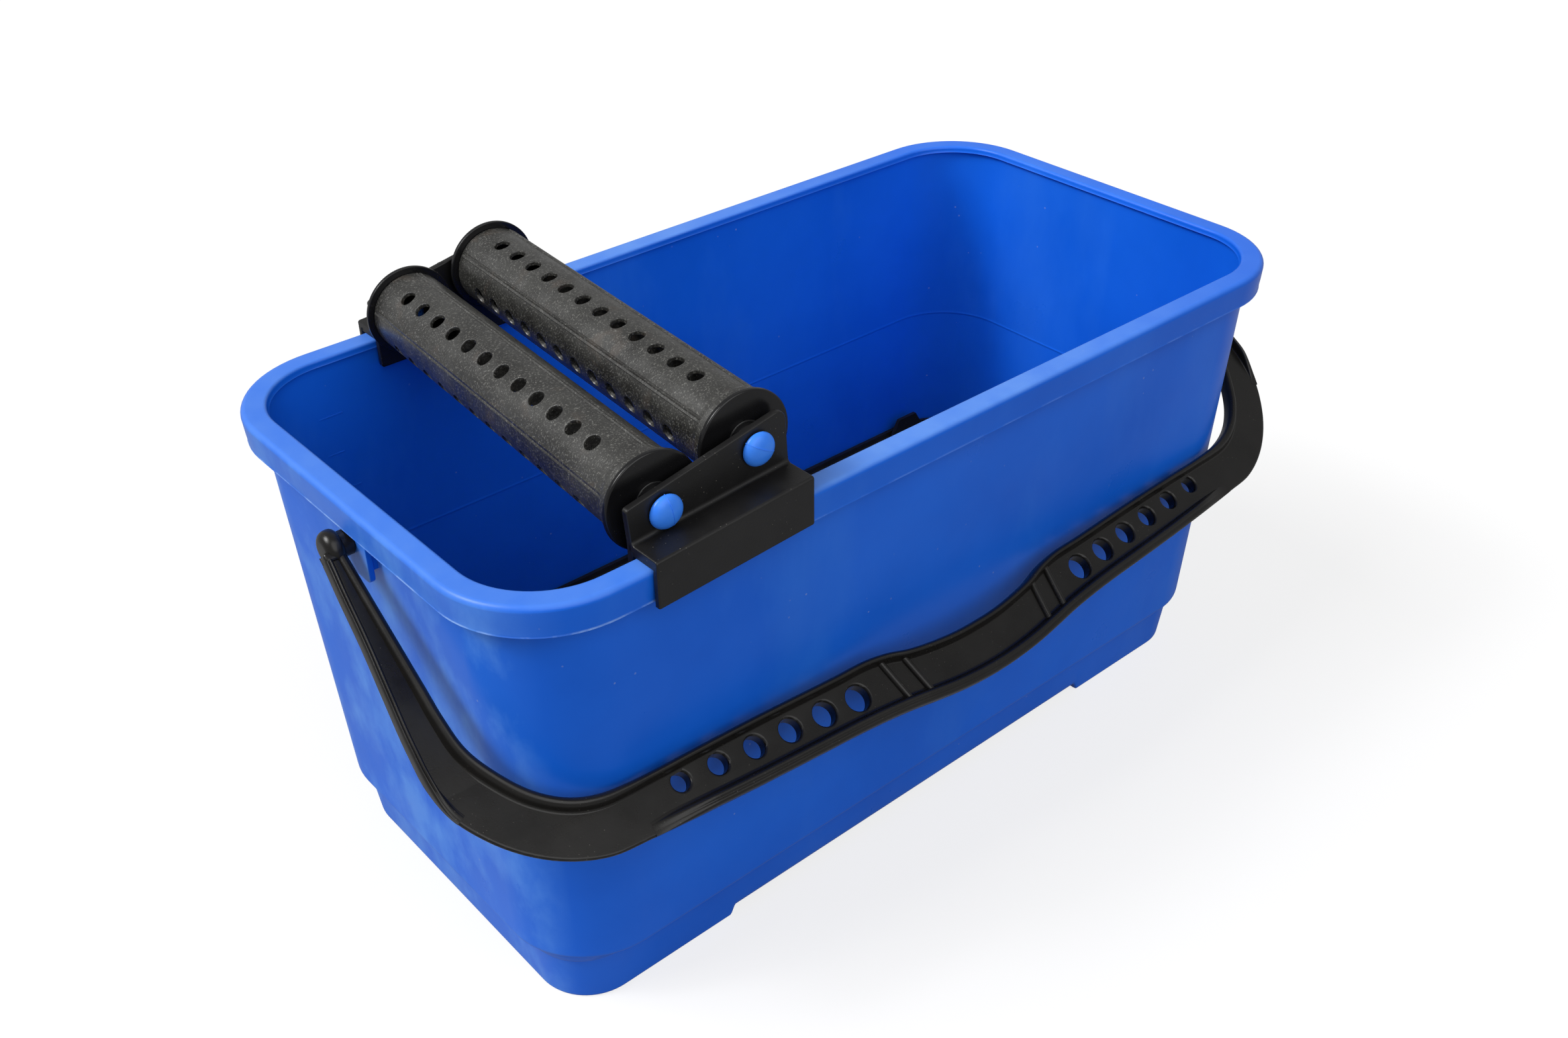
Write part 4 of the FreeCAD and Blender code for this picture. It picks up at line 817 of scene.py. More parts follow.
def bracket_plate(place, side):
    """The plate has a slanted top edge, a hole for each pin and rounded top corners."""
    low, high = -BRACKET_HALF, BRACKET_HALF
    corners = [(low, PLATE_FOOT), (high, PLATE_FOOT), (high, SHELF_LOW + SHELF_CLIMB),
               (high - 1.5, PLATE_HIGH_TOP), (low - 1.4, PLATE_LOW_TOP), (low, SHELF_LOW)]
    outline = rounded(corners, {0: 1.5, 1: 1.5, 3: 5.0, 4: 1.8})
    holes = [circle_outline(x, height, PIN_HOLE, 28) for x, height in PIN_HOLES]
    plate = flat_plate("bracket_plate", [outline] + holes, PLATE_OUT - PLATE_IN, 0.7)
    stand = Matrix(((1, 0, 0, place), (0, 0, side, side * (PLATE_IN + PLATE_OUT) / 2),
                    (0, 1, 0, 0), (0, 0, 0, 1)))
    return placed(plate, stand)


# %% Ribs, gate mark and both brackets
RIB_STARTS = ((-BRACKET_HALF + 0.5, 0.0), (-1.25, 2.7), (BRACKET_HALF - 3.0, 4.86))
RIB_SIDES, RIB_LENGTH = (122.0, 139.0), 2.5
RIB_FOOT, RIB_TOP = 268.2, 271.6
GATE_SIDES, GATE_HALF, GATE_HEIGHTS = (120.7, 122.8), 2.5, (298.4, 299.9)


def make_bracket(name, place, side):
    """Plate, clip, the three ribs that stand on the rim, and a small gate mark on top."""
    parts = [bracket_plate(place, side), bracket_clip(place, side)]
    near, far = sorted(side * away for away in RIB_SIDES)
    for start, climb in RIB_STARTS:
        parts.append(block((place + start, near, RIB_FOOT),
                           (place + start + RIB_LENGTH, far, RIB_TOP + climb), 0.3))
    near, far = sorted(side * away for away in GATE_SIDES)
    parts.append(block((place - GATE_HALF, near, GATE_HEIGHTS[0]),
                       (place + GATE_HALF, far, GATE_HEIGHTS[1]), 0.6))
    make_piece(name + "_moulding", join_meshes(name, parts), bracket_black,
               "roller_unit", name)


make_bracket("front_bracket", place=-152.4, side=-1)
make_bracket("back_bracket", place=-134.7, side=1)

# %% [markdown]
# ## The rollers
#
# Each roller is a tube with four rows of drain holes and four ridges between them. Cutting holes
# with a boolean leaves ragged triangles. Here the tube is laid flat instead: every hole is a
# square cell with rings of points round the hole, the cells and strips make up a sheet, and the
# sheet is rolled up. The rings nearest to a hole dip a little, which gives it a soft edge. The
# outside and the bore are two such sheets, joined through the holes and round both ends.

# %% The roller's own frame
# The back bracket stands further right than the front one, so both rollers lie askew
BRACKET_SHIFT, BRACKET_SPAN = 17.7, 243.5
SKEW = math.atan2(BRACKET_SHIFT, BRACKET_SPAN)
AXIS_ALONG = Vector((math.sin(SKEW), math.cos(SKEW), 0))
AXIS_ACROSS = Vector((math.cos(SKEW), -math.sin(SKEW), 0))
# Place along the tub, height, and the angle of a hole row
ROLLERS = {"left": (-169.0, 283.8, 118.0), "right": (-118.1, 293.5, 101.0)}
print("the rollers lie askew by", round(math.degrees(SKEW), 2), "degrees")


def roller_frame(which, outward=1, angle=None):
    """Z runs along the roller, towards the back or, with outward -1, towards the front."""
    x, height, row_angle = ROLLERS[which]
    turn = math.radians(row_angle if angle is None else angle)
    zero = AXIS_ACROSS * math.cos(turn) + Vector((0, 0, math.sin(turn)))
    axis = AXIS_ALONG * outward
    side = axis.cross(zero)
    rows = [(zero[i], side[i], axis[i], (x, 0, height)[i]) for i in range(3)]
    return Matrix(rows + [(0, 0, 0, 1)])


# %% The outside of the tube
SHELL, BORE = 20.5, 18.5
FRONT, BACK = -112.8, 112.8
OUTSIDE_LINE = ((FRONT, 21.6), (FRONT + 0.5, 22.0), (FRONT + 4.6, 22.0), (FRONT + 5.0, 21.9),
                (FRONT + 5.3, 21.2), (FRONT + 7.0, 20.7), (FRONT + 9.0, SHELL),
                (BACK - 0.5, SHELL), (BACK, SHELL - 0.4))
RIDGE_HEIGHT, RIDGE_HALF, RIDGE_SLOPE = 0.7, 1.55, 0.4
HOLLOW_DEPTH, HOLLOW_HALF = 0.3, 0.7
RIDGE_START, RIDGE_END = FRONT + 5.2, BACK - 2.0


def tube_radius(run):
    """The tube's outside along its length: a flared collar in front, a small lip behind."""
    for (start, low), (finish, high) in zip(OUTSIDE_LINE, OUTSIDE_LINE[1:]):
        if run <= finish:
            return low + (high - low) * (run - start) / (finish - start)
    return OUTSIDE_LINE[-1][1]


def ridge_rise(run, angle):
    """How far a ridge stands out at an angle from a hole row; its top is a little hollow."""
    if run < RIDGE_START or run > RIDGE_END:
        return 0.0
    away = abs(abs(angle) - 45.0) * math.pi / 180 * SHELL
    ridge = RIDGE_HEIGHT * min(max((RIDGE_HALF - away) / RIDGE_SLOPE, 0.0), 1.0)
    return ridge - HOLLOW_DEPTH * max(1 - away / HOLLOW_HALF, 0.0)


def surface(run, angle, outer):
    """The radius of one of the two sheets at a place."""
    if not outer:
        return BORE
    from_row = (angle + 45.0) % 90.0 - 45.0
    return tube_radius(run) + ridge_rise(run, from_row)


# %% Where the sheet has its points
HOLE, PITCH, HOLES = 4.0, 16.0, 12
FIRST_HOLE = -84.5
HOLE_ROWS = (0.0, 90.0, 180.0, 270.0)
CELL_STEPS = 6
CELL_ANGLE = 22.5
CELL_START = FIRST_HOLE - PITCH / 2
CELL_END = FIRST_HOLE + PITCH * (HOLES - 0.5)
RUNS_BEFORE = [FRONT, FRONT + 0.5, FRONT + 2.5, FRONT + 4.6, FRONT + 5.0, FRONT + 5.3,
               FRONT + 5.4, FRONT + 7.0, FRONT + 9.0, -98.0]
RUNS_BESIDE = [CELL_START + PITCH * HOLES * i / (CELL_STEPS * HOLES)
               for i in range(CELL_STEPS * HOLES + 1)]
RUNS_AFTER = [103.5, 108.0, BACK - 2.1, BACK - 1.9, BACK - 0.5, BACK]
HALF_CELL = CELL_STEPS // 2
CELL_ANGLES = [CELL_ANGLE * i / HALF_CELL for i in range(-HALF_CELL, HALF_CELL + 1)]
STRIP_ANGLES = [22.5, 27.0, 32.0, 37.0, 40.6, 41.8, 43.0, 45.0, 47.0, 48.2, 49.4, 53.0, 58.0,
                63.0, 67.5]
# Radius of each ring round a hole and how far it dips, outside and in the bore
OUTER_RINGS = ((6.0, 0.0), (5.0, 0.0), (4.5, 0.03), (4.26, 0.12), (4.12, 0.35), (4.05, 0.8))
INNER_RINGS = ((6.0, 0.0), (4.8, 0.0), (HOLE, 0.0))


def cell_square():
    """Points round a cell's edge in steps, as shares from -1 to 1."""
    shares = [i / HALF_CELL for i in range(-HALF_CELL, HALF_CELL)]
    return ([(share, -1.0) for share in shares] + [(1.0, share) for share in shares]
            + [(-share, 1.0) for share in shares] + [(-1.0, -share) for share in shares])


SQUARE = cell_square()
print("a hole's cell has", len(SQUARE), "points round it")


# %% A sheet that is rolled up while it is drawn
class Sheet:
    """The points and faces of a tube: a run along it, an angle round it and a radius."""

    def __init__(self):
        self.points = []
        self.faces = []

    def roll(self, run, angle, radius):
        """Add one point and give its number."""
        turn = math.radians(angle)
        self.points.append((radius * math.cos(turn), radius * math.sin(turn), run))
        return len(self.points) - 1

    def join(self, low, high, closed=True):
        """Faces between two rows of points."""
        for i in range(len(low) if closed else len(low) - 1):
            after = (i + 1) % len(low)
            self.faces.append((low[i], low[after], high[after], high[i]))

    def patch(self, angles, runs, outer):
        """A part without holes."""
        grid = [[self.roll(run, angle, surface(run, angle, outer)) for angle in angles]
                for run in runs]
        for low, high in zip(grid, grid[1:]):
            self.join(low, high, closed=False)

    def hole_cell(self, centre, middle, outer):
        """A square cell with rings round its hole; gives the innermost ring."""
        base = SHELL if outer else BORE
        loops = [[self.roll(centre + PITCH / 2 * u, middle + CELL_ANGLE * v, base)
                  for v, u in SQUARE]]
        for size, dip in OUTER_RINGS if outer else INNER_RINGS:
            loop = []
            for v, u in SQUARE:
                bearing = math.atan2(u, v)
                arc = size * math.cos(bearing) / SHELL
                loop.append(self.roll(centre + size * math.sin(bearing),
                                      middle + math.degrees(arc), base - dip))
            loops.append(loop)
        for low, high in zip(loops, loops[1:]):
            self.join(low, high)
        return loops[-1]


# %% Both roller shells
def make_shell(which):
    """Two rolled sheets with four rows of holes, joined through the holes and at the ends."""
    sheet = Sheet()
    rims = {True: [], False: []}
    for outer in (True, False):
        for middle in HOLE_ROWS:
            cells = [middle + angle for angle in CELL_ANGLES]
            strip = [middle + angle for angle in STRIP_ANGLES]
            sheet.patch(cells, RUNS_BEFORE + [CELL_START], outer)
            sheet.patch(cells, [CELL_END] + RUNS_AFTER, outer)
            sheet.patch(strip, RUNS_BEFORE + RUNS_BESIDE + RUNS_AFTER, outer)
            for hole in range(HOLES):
                centre = FIRST_HOLE + PITCH * hole
                rims[outer].append(sheet.hole_cell(centre, middle, outer))
    for outside_rim, bore_rim in zip(rims[True], rims[False]):
        sheet.join(outside_rim, bore_rim)
    round_angles = [middle + angle for middle in HOLE_ROWS
                    for angle in CELL_ANGLES[:-1] + STRIP_ANGLES[:-1]]
    for run in (FRONT, BACK):
        outer_ring = [sheet.roll(run, angle, surface(run, angle, True)) for angle in round_angles]
        inner_ring = [sheet.roll(run, angle, BORE) for angle in round_angles]
        sheet.join(outer_ring, inner_ring)
    mesh = make_mesh(which + "_shell", sheet.points, sheet.faces, 38)
    placed(mesh, roller_frame(which))
    node = which + "_roller_shell"
    make_piece(node + "_tube", mesh, roller_grey, which + "_roller", node)


for which in ROLLERS:
    make_shell(which)

# %% [markdown]
# ### Caps and push pins
#
# A cap is turned, so one profile does it: disc, plug, barrel and hub. The push pin is turned too,
# apart from the fine parting line that its mould left across the dome. A thin band laid over the
# dome makes that line real enough to catch the light. The slot in the barb is hidden for good, so
# it is left to the CAD.

# %% End caps
# Distances from the roller's middle, and radii
BARREL_END, SHELL_END, DISC_FACE, HUB_END = 108.317, 112.817, 115.317, 119.367
CAP_BORE, HUB, PLUG, DISC = 4.04, 9.0, 18.45, 23.75
CAP_SKIN, PLUG_DEPTH = 2.2, 9.0
OUTWARD = {"front": -1, "back": 1}


def make_cap(which, end):
    """The cap's profile, turned and set on its end of the roller."""
    plug_in, barrel = PLUG - CAP_SKIN, CAP_BORE + CAP_SKIN
    corners = [
        (CAP_BORE, BARREL_END), (CAP_BORE, HUB_END), (HUB, HUB_END), (HUB, DISC_FACE),
        (DISC, DISC_FACE), (DISC, SHELL_END), (PLUG, SHELL_END), (PLUG, SHELL_END - PLUG_DEPTH),
        (plug_in, SHELL_END - PLUG_DEPTH), (plug_in, SHELL_END), (barrel, SHELL_END),
        (barrel, BARREL_END),
    ]
    profile = rounded(corners, {1: 0.4, 2: 1.4, 3: 0.8, 4: 0.9, 5: 0.5, 7: 0.5, 8: 0.3}, 6)
    mesh = turn_profile("cap", profile, 96)
    placed(mesh, roller_frame(which, OUTWARD[end], 0.0))
    node = "%s_roller_%s_cap" % (which, end)
    make_piece(node + "_disc", mesh, cap_black, which + "_roller", node)


# %% The pin's parting line
HEAD_FOOT, HEAD_HEIGHT, HEAD_RADIUS = 124.776, 4.6, 8.2
LINE_PLACE, LINE_SINK = -1.2, 0.05
LINE_STEPS = 20


def parting_line(width=0.5, proud=0.3):
    """A thin band over the dome from edge to edge."""
    rows = []
    for step in range(-LINE_STEPS, LINE_STEPS + 1):
        tilt = math.radians(86) * step / LINE_STEPS
        row = []
        for across, lift in ((-width / 2, -proud), (-width / 4, proud),
                             (width / 4, proud), (width / 2, -proud)):
            reach = (HEAD_RADIUS + lift) * math.sin(tilt)
            height = HEAD_FOOT + (HEAD_HEIGHT + lift) * math.cos(tilt)
            row.append((reach, across + LINE_PLACE, height - LINE_SINK))
        rows.append(row)
    points, faces = skin_rows(rows, capped=True)
    return make_mesh("parting_line", points, faces, 60)


# %% Push pins
BARB, BARB_RADIUS, BARB_LENGTH, SHANK = 108.277, 4.9, 4.5, 4.0
DOME_STEPS = 12
PIN_TURN = {("left", "front"): 100.0, ("right", "front"): 150.0, ("left", "back"): 40.0,
            ("right", "back"): 75.0}


def make_pin(which, end):
    """Barb, shank and domed head turned as one, with the parting line over the dome."""
    dome = []
    for step in range(DOME_STEPS):
        tilt = math.radians(90) * step / DOME_STEPS
        dome.append((HEAD_RADIUS * math.cos(tilt),
                     HEAD_FOOT + 0.5 + (HEAD_HEIGHT - 0.5) * math.sin(tilt)))
    dome.append((0.0, HEAD_FOOT + HEAD_HEIGHT))
    tip = BARB - BARB_LENGTH
    profile = [(0.0, tip), (2.3, tip), (2.6, tip + 0.3), (BARB_RADIUS, BARB - 0.2),
               (BARB_RADIUS, BARB), (SHANK, BARB), (SHANK, HEAD_FOOT - 0.4), (4.4, HEAD_FOOT),
               (HEAD_RADIUS - 0.4, HEAD_FOOT), (HEAD_RADIUS - 0.1, HEAD_FOOT + 0.15)] + dome
    mesh = join_meshes("pin", [turn_profile("pin", profile, 64, 40), parting_line()])
    placed(mesh, roller_frame(which, OUTWARD[end], PIN_TURN[which, end]))
    node = "%s_roller_%s_pin" % (which, end)
    make_piece(node + "_push", mesh, pin_blue, which + "_roller", node)


for which in ROLLERS:
    for end in ("front", "back"):
        make_cap(which, end)
        make_pin(which, end)

# %% [markdown]
# ## The handle
#
# The handle is a flat bail: a web with a rail along each edge, wide at the elbows, with a row of
# holes on each side of the grip. It is drawn flat, with X across and Y away from its pivot, from
# two smooth edges. The web is a plate between them, holes and all. The rails are one small section
# led along the edges. Then the whole bail is hung on its pivot.

# %% The two edges of the handle
# From the middle of the grip outward, as shares of half the width and of the reach or bar width
ARM_IN = 269.5
REACH = 156.9
GRIP_INNER = ((0.0, 1.0), (0.045, 0.985), (0.11, 0.88), (0.17, 0.705), (0.21, 0.515), (0.25, 0.4),
              (0.335, 0.337), (0.53, 0.183), (0.66, 0.112), (0.73, 0.083), (0.79, 0.024))
ELBOW_INNER = ((0.835, 0.992), (0.887, 0.958), (0.93, 0.899), (0.969, 0.802), (0.994, 0.701),
               (1.0, 0.595), (1.0, 0.489), (1.0, 0.3), (1.0, 0.12), (1.0, 0.0))
GRIP_OUTER = ((0.0, 1.379), (0.096, 1.333), (0.156, 1.261), (0.203, 1.197), (0.265, 1.136),
              (0.33, 1.091), (0.4, 1.055), (0.52, 0.991), (0.65, 0.903), (0.735, 0.836))
ELBOW_OUTER = ((0.806, 1.16), (0.869, 1.11), (0.928, 1.024), (0.967, 0.932), (0.99, 0.849),
               (1.0, 0.75))
ARM_FLARE = ((0.93, 0.631), (0.67, 0.465), (0.39, 0.3), (0.17, 0.13), (0.04, 0.045), (0.0, 0.0))
GRIP_OFFSET, BAR_WIDTH, ELBOW_WIDTH, ARM_WIDTH = 16.9, 33.0, 21.5, 10.3


def half_edge(inner):
    """The right half of the inner or the outer edge, from the grip to the pivot."""
    if inner:
        grip = [(ARM_IN * x, REACH + GRIP_OFFSET * y) for x, y in GRIP_INNER]
        return grip + [(ARM_IN * x, REACH * y) for x, y in ELBOW_INNER]
    half = ARM_IN + ELBOW_WIDTH
    grip = [(half * x, REACH + BAR_WIDTH * y) for x, y in GRIP_OUTER]
    elbow = [(half * x, REACH * y) for x, y in ELBOW_OUTER]
    arm = [(ARM_IN + ARM_WIDTH + (ELBOW_WIDTH - ARM_WIDTH) * x, REACH * y) for x, y in ARM_FLARE]
    return grip + elbow + arm


# %% Smooth lines through the edges' points
def smooth_line(spots, steps=8):
    """A smooth line through the spots: a Bezier span between each two, tangents shared."""
    spots = [Vector(spot) for spot in spots]
    tangents = []
    for index, spot in enumerate(spots):
        before = spot - spots[index - 1] if index else spots[1] - spot
        after = spots[index + 1] - spot if index < len(spots) - 1 else before
        weighed = before.normalized() * after.length + after.normalized() * before.length
        tangents.append(weighed.normalized())
    line = [spots[0]]
    for index in range(len(spots) - 1):
        pull = (spots[index + 1] - spots[index]).length / 3
        span = interpolate_bezier(spots[index], spots[index] + tangents[index] * pull,
                                  spots[index + 1] - tangents[index + 1] * pull,
                                  spots[index + 1], steps + 1)
        line += span[1:]
    return line


def whole_edge(inner):
    """From the left arm over the grip to the right arm."""
    half = half_edge(inner)
    return smooth_line([(-x, y) for x, y in reversed(half[1:])] + half)


def even_steps(line, step=2.0):
    """The same line with points at even distances."""
    lengths = [0.0]
    for start, finish in zip(line, line[1:]):
        lengths.append(lengths[-1] + (finish - start).length)
    count = max(2, round(lengths[-1] / step))
    result = []
    span = 0
    for index in range(count + 1):
        target = lengths[-1] * index / count
        while span < len(line) - 2 and lengths[span + 1] < target:
            span += 1
        share = (target - lengths[span]) / (lengths[span + 1] - lengths[span])
        result.append(line[span].lerp(line[span + 1], share))
    return result


inner_line = even_steps(whole_edge(True))
outer_line = even_steps(whole_edge(False))
print("handle's inner edge:", len(inner_line), "points; outer edge:", len(outer_line))

# %% Web with its holes
WEB, WEB_ROUND = 3.0, 1.4
WEB_HOLES = 6
HOLE_START, HOLE_STEP = 83.2, 20.9
HOLE_REACH, HOLE_DROP = 177.4, 8.6
BIG_HOLE, SMALL_HOLE = 6.7, 4.8


def handle_holes():
    """Place along the bar, distance from the pivot and radius of each hole on one side."""
    for hole in range(WEB_HOLES):
        share = hole / (WEB_HOLES - 1)
        yield (HOLE_START + HOLE_STEP * hole, HOLE_REACH - HOLE_DROP * share,
               BIG_HOLE + (SMALL_HOLE - BIG_HOLE) * share)


def handle_web():
    """The plate between the two edges, with a row of holes on each side of the grip."""
    outline = [(x, y) for x, y in inner_line if y > 1.0]
    outline += [(x, y) for x, y in reversed(outer_line) if y > 1.0]
    holes = []
    for across, away, radius in handle_holes():
        for side in (-1, 1):
            holes.append(circle_outline(side * across, away, radius, 40))
    plate = flat_plate("handle_web", [outline] + holes, WEB, WEB_ROUND, 30)
    return placed(plate, Matrix.Translation((0, 0, -WEB / 2)))


# %% Collars behind the holes
COLLAR_TOP, COLLAR_FOOT, COLLAR_SKIN = -1.8, -7.5, 1.4


def hole_collars():
    """Behind the web a short collar stands round each hole, and shows through it."""
    collars = []
    for across, away, radius in handle_holes():
        within, without = radius - 0.02, radius + COLLAR_SKIN
        profile = rounded([(within, COLLAR_TOP), (within, COLLAR_FOOT), (without, COLLAR_FOOT),
                           (without, COLLAR_TOP)], {1: 0.5, 2: 0.5}, 4)
        for side in (-1, 1):
            collar = turn_profile("collar", profile, 48, 40)
            collars.append(placed(collar, Matrix.Translation((side * across, away, 0))))
    return collars


# %% The rails' sections
# Reach from the edge into the web, and height over it; the foot is the same for both
RAIL_FOOT = ((0.0, 0.4), (0.0, -2.2), (0.4, -2.8), (1.2, -3.0), (6.4, -3.0), (9.4, -2.6),
             (9.8, -0.3))
# A smooth bead inside, and outside a bead with a groove along its rim
INNER_SECTION = RAIL_FOOT + (
    (8.4, 0.05), (7.6, 0.35), (7.0, 1.0), (6.5, 2.2), (5.8, 3.5), (4.9, 4.5), (3.9, 5.05),
    (2.9, 5.2), (1.9, 4.95), (1.0, 4.3), (0.35, 3.4), (0.0, 2.4),
)
OUTER_SECTION = RAIL_FOOT + (
    (8.6, 0.05), (7.7, 0.3), (7.1, 0.8), (6.8, 1.6), (6.6, 3.0), (6.2, 4.2), (5.4, 4.95),
    (4.6, 5.2), (3.8, 5.05), (3.2, 4.6), (2.8, 4.35), (2.4, 4.5), (1.8, 4.6), (1.0, 4.35),
    (0.35, 3.6), (0.0, 2.6),
)


# %% Rails led along the edges
EYE_END = 6.0
BAR_END, BAR_FADE = 236, 40


def bar_share(spot):
    """1 beside the grip and 0 on the arms."""
    return ease((BAR_END - abs(spot.x)) / BAR_FADE)


def lead_section(section, line, inward, fade, width):
    """A rail's section led along a line; fade and width shape it at each point."""
    rows = []
    for index, spot in enumerate(line):
        ahead = line[min(index + 1, len(line) - 1)] - line[max(index - 1, 0)]
        across = Vector((-ahead.y, ahead.x)).normalized() * inward
        stand = fade(spot)
        row = []
        for reach, rise in section:
            if rise > 0:
                rise *= stand
            place = spot + across * reach * width(spot)
            row.append((place.x, place.y, rise))
        rows.append(row)
    points, faces = skin_rows(rows, capped=True)
    return make_mesh("rail", points, faces, 60)


# %% Both rails
# Widths are shares of the drawn sections; a rail sinks into the web over its fade
INNER_WIDTH, INNER_THINNER = 0.85, 0.23
OUTER_WIDTH, OUTER_WIDER = 0.52, 0.43
BAR_RAIL_END, BAR_RAIL_FADE = 212, 34
ARM_RAIL_END, ARM_RAIL_FADE = 137, 26
SUNK = 0.02


def inner_rail():
    """The inner rail runs unbroken from eye to eye and is thinner beside the grip."""
    line = [spot for spot in inner_line if spot.y > EYE_END - 1.0]
    return lead_section(INNER_SECTION, line, 1, lambda spot: 1.0,
                        lambda spot: INNER_WIDTH - INNER_THINNER * bar_share(spot))


def outer_rails():
    """The outer rail leaves the elbows out and sinks into the web on both sides of them."""
    bar = [spot for spot in outer_line if abs(spot.x) < BAR_RAIL_END and spot.y > REACH / 2]
    rails = [lead_section(
        OUTER_SECTION, bar, -1,
        lambda spot: ease((BAR_RAIL_END - abs(spot.x)) / BAR_RAIL_FADE) + SUNK,
        lambda spot: OUTER_WIDTH + OUTER_WIDER * bar_share(spot))]
    for side in (-1, 1):
        arm = [spot for spot in outer_line
               if EYE_END - 1.0 < spot.y < ARM_RAIL_END and spot.x * side > BAR_END]
        rails.append(lead_section(
            OUTER_SECTION, arm, -1,
            lambda spot: ease((ARM_RAIL_END - spot.y) / ARM_RAIL_FADE) + SUNK,
            lambda spot: OUTER_WIDTH))
    return rails


# %% The filled arms
FILL_RISE, FILL_LENGTH, FILL_STEP = 3.8, 125.0, 4


def across_at(line, away):
    """How far out a line lies on its arm at a distance from the pivot."""
    for start, finish in zip(line, line[1:]):
        if min(start.x, finish.x) > BAR_END and (start.y - away) * (finish.y - away) <= 0:
            share = (away - start.y) / (finish.y - start.y)
            return start.x + (finish.x - start.x) * share


def arm_fill(side):
    """Between the rails of an arm the web rises towards the pivot."""
    rows = []
    for away in range(FILL_STEP, 129, FILL_STEP):
        low, high = across_at(inner_line, away), across_at(outer_line, away)
        rise = FILL_RISE * (1 - away / FILL_LENGTH)
        section = ((low + 2.4, rise - 0.9), (low + 3.3, rise - 0.2), (low + 4.2, rise),
                   (high - 4.0, rise), (high - 3.2, rise - 0.2), (high - 2.4, rise - 0.9),
                   (high - 2.4, -1.2), (low + 2.4, -1.2))
        rows.append([(side * across, away, height) for across, height in section])
    points, faces = skin_rows(rows, capped=True)
    return make_mesh("arm_fill", points, faces, 40)


# %% Ribs beside the grip
RIB_PLACES, RIB_FOOT_LEAN, RIB_HEAD_LEAN = (47.0, 60.5), 1.3, -3.4
RIB_SECTION = ((-2.2, -0.6), (-2.0, 0.2), (-1.8, 0.9), (-1.4, 1.6), (-0.8, 2.1), (0.0, 2.2),
               (0.8, 2.1), (1.4, 1.6), (1.8, 0.9), (2.0, 0.2), (2.2, -0.6))


def edge_height(line, place):
    """How far from the pivot the bar's edge lies at a place along it."""
    bar = (spot for spot in line if spot.y > REACH / 2)
    return min(bar, key=lambda spot: abs(spot.x - place)).y


def cross_ribs():
    """Two half-round ribs lean across the web on each side of the grip."""
    ribs = []
    for side in (-1, 1):
        for place in RIB_PLACES:
            foot_x, head_x = place + RIB_FOOT_LEAN, place + RIB_HEAD_LEAN
            foot = Vector((side * foot_x, edge_height(inner_line, foot_x) + 1.0))
            head = Vector((side * head_x, edge_height(outer_line, head_x) - 1.0))
            along = (head - foot).normalized()
            across = Vector((-along.y, along.x))
            rows = []
            for share in (0.0, 0.25, 0.5, 0.75, 1.0):
                spot = foot.lerp(head, share)
                rows.append([(spot.x + across.x * aside, spot.y + across.y * aside, rise)
                             for aside, rise in RIB_SECTION])
            points, faces = skin_rows(rows, capped=True)
            ribs.append(make_mesh("rib", points, faces, 50))
    return ribs


# %% Arm ends and pegs
RAIL_TOP = 5.2
EYE, EYE_LENGTH = 8.7, 8.4
COLLAR, COLLAR_FACE = 6.2, 264.3
PEG, PEG_END, SNAP_HEAD, SNAP_FACE, SNAP_END = 5.0, 265.0, 6.8, 260.7, 259.2


def arm_end(side):
    """Bullnose end, collar before the lug, peg and snap head, turned about X."""
    eye = rounded([(0.0, ARM_IN), (EYE, ARM_IN), (EYE, ARM_IN + EYE_LENGTH),
                   (0.0, ARM_IN + EYE_LENGTH)], {1: 2.6, 2: 4.6}, 9)
    collar = rounded([(0.0, COLLAR_FACE), (COLLAR, COLLAR_FACE), (COLLAR, ARM_IN + 0.5),
                      (0.0, ARM_IN + 0.5)], {1: 0.5, 2: 0.5})
    peg = rounded([(0.0, SNAP_END), (SNAP_HEAD, SNAP_END), (SNAP_HEAD, SNAP_FACE),
                   (PEG, SNAP_FACE), (PEG, PEG_END), (0.0, PEG_END)], {1: 0.6, 2: 0.3})
    stand = Matrix(((0, 0, side, 0), (1, 0, 0, 0), (0, side, 0, 0), (0, 0, 0, 1)))
    parts = [placed(turn_profile("arm_end", profile, 64, 50), stand)
             for profile in (eye, collar, peg)]
    ends = sorted((side * (ARM_IN + 0.05), side * (ARM_IN + 10.5)))
    parts.append(block((ends[0], 2.5, -WEB), (ends[1], EYE_END + 1.5, RAIL_TOP), 1.6, 4))
    return parts


# %% Hang the handle
HANG = math.radians(35.755)


def hang_handle(mesh):
    """From the flat drawing to its place: turned half round, then hung on the pivot."""
    hang = Matrix.Rotation(HANG, 4, "X") @ Matrix.Rotation(math.pi, 4, "Z")
    return placed(mesh, Matrix.Translation((0, 0, PIVOT)) @ hang)


handle_parts = [handle_web(), inner_rail(), arm_fill(-1), arm_fill(1)] + outer_rails()
handle_parts += hole_collars() + cross_ribs() + arm_end(-1) + arm_end(1)
handle_mesh = hang_handle(join_meshes("handle", handle_parts))
make_piece("handle_bail", handle_mesh, handle_black, "handle", "handle")

# %% [markdown]
# ## The sediment grid
#
# The black grid that keeps dirt at the bottom barely shows between the rollers and the rim. Its
# CAD solid already has its slots and its tab, so it stays and only gets a better finish.

# %% Finish the grid
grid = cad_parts["sediment_grid"]
for grid_slot in grid.material_slots:
    grid_slot.material = grid_black
print("grid keeps its CAD mesh:", len(grid.data.vertices), "points")

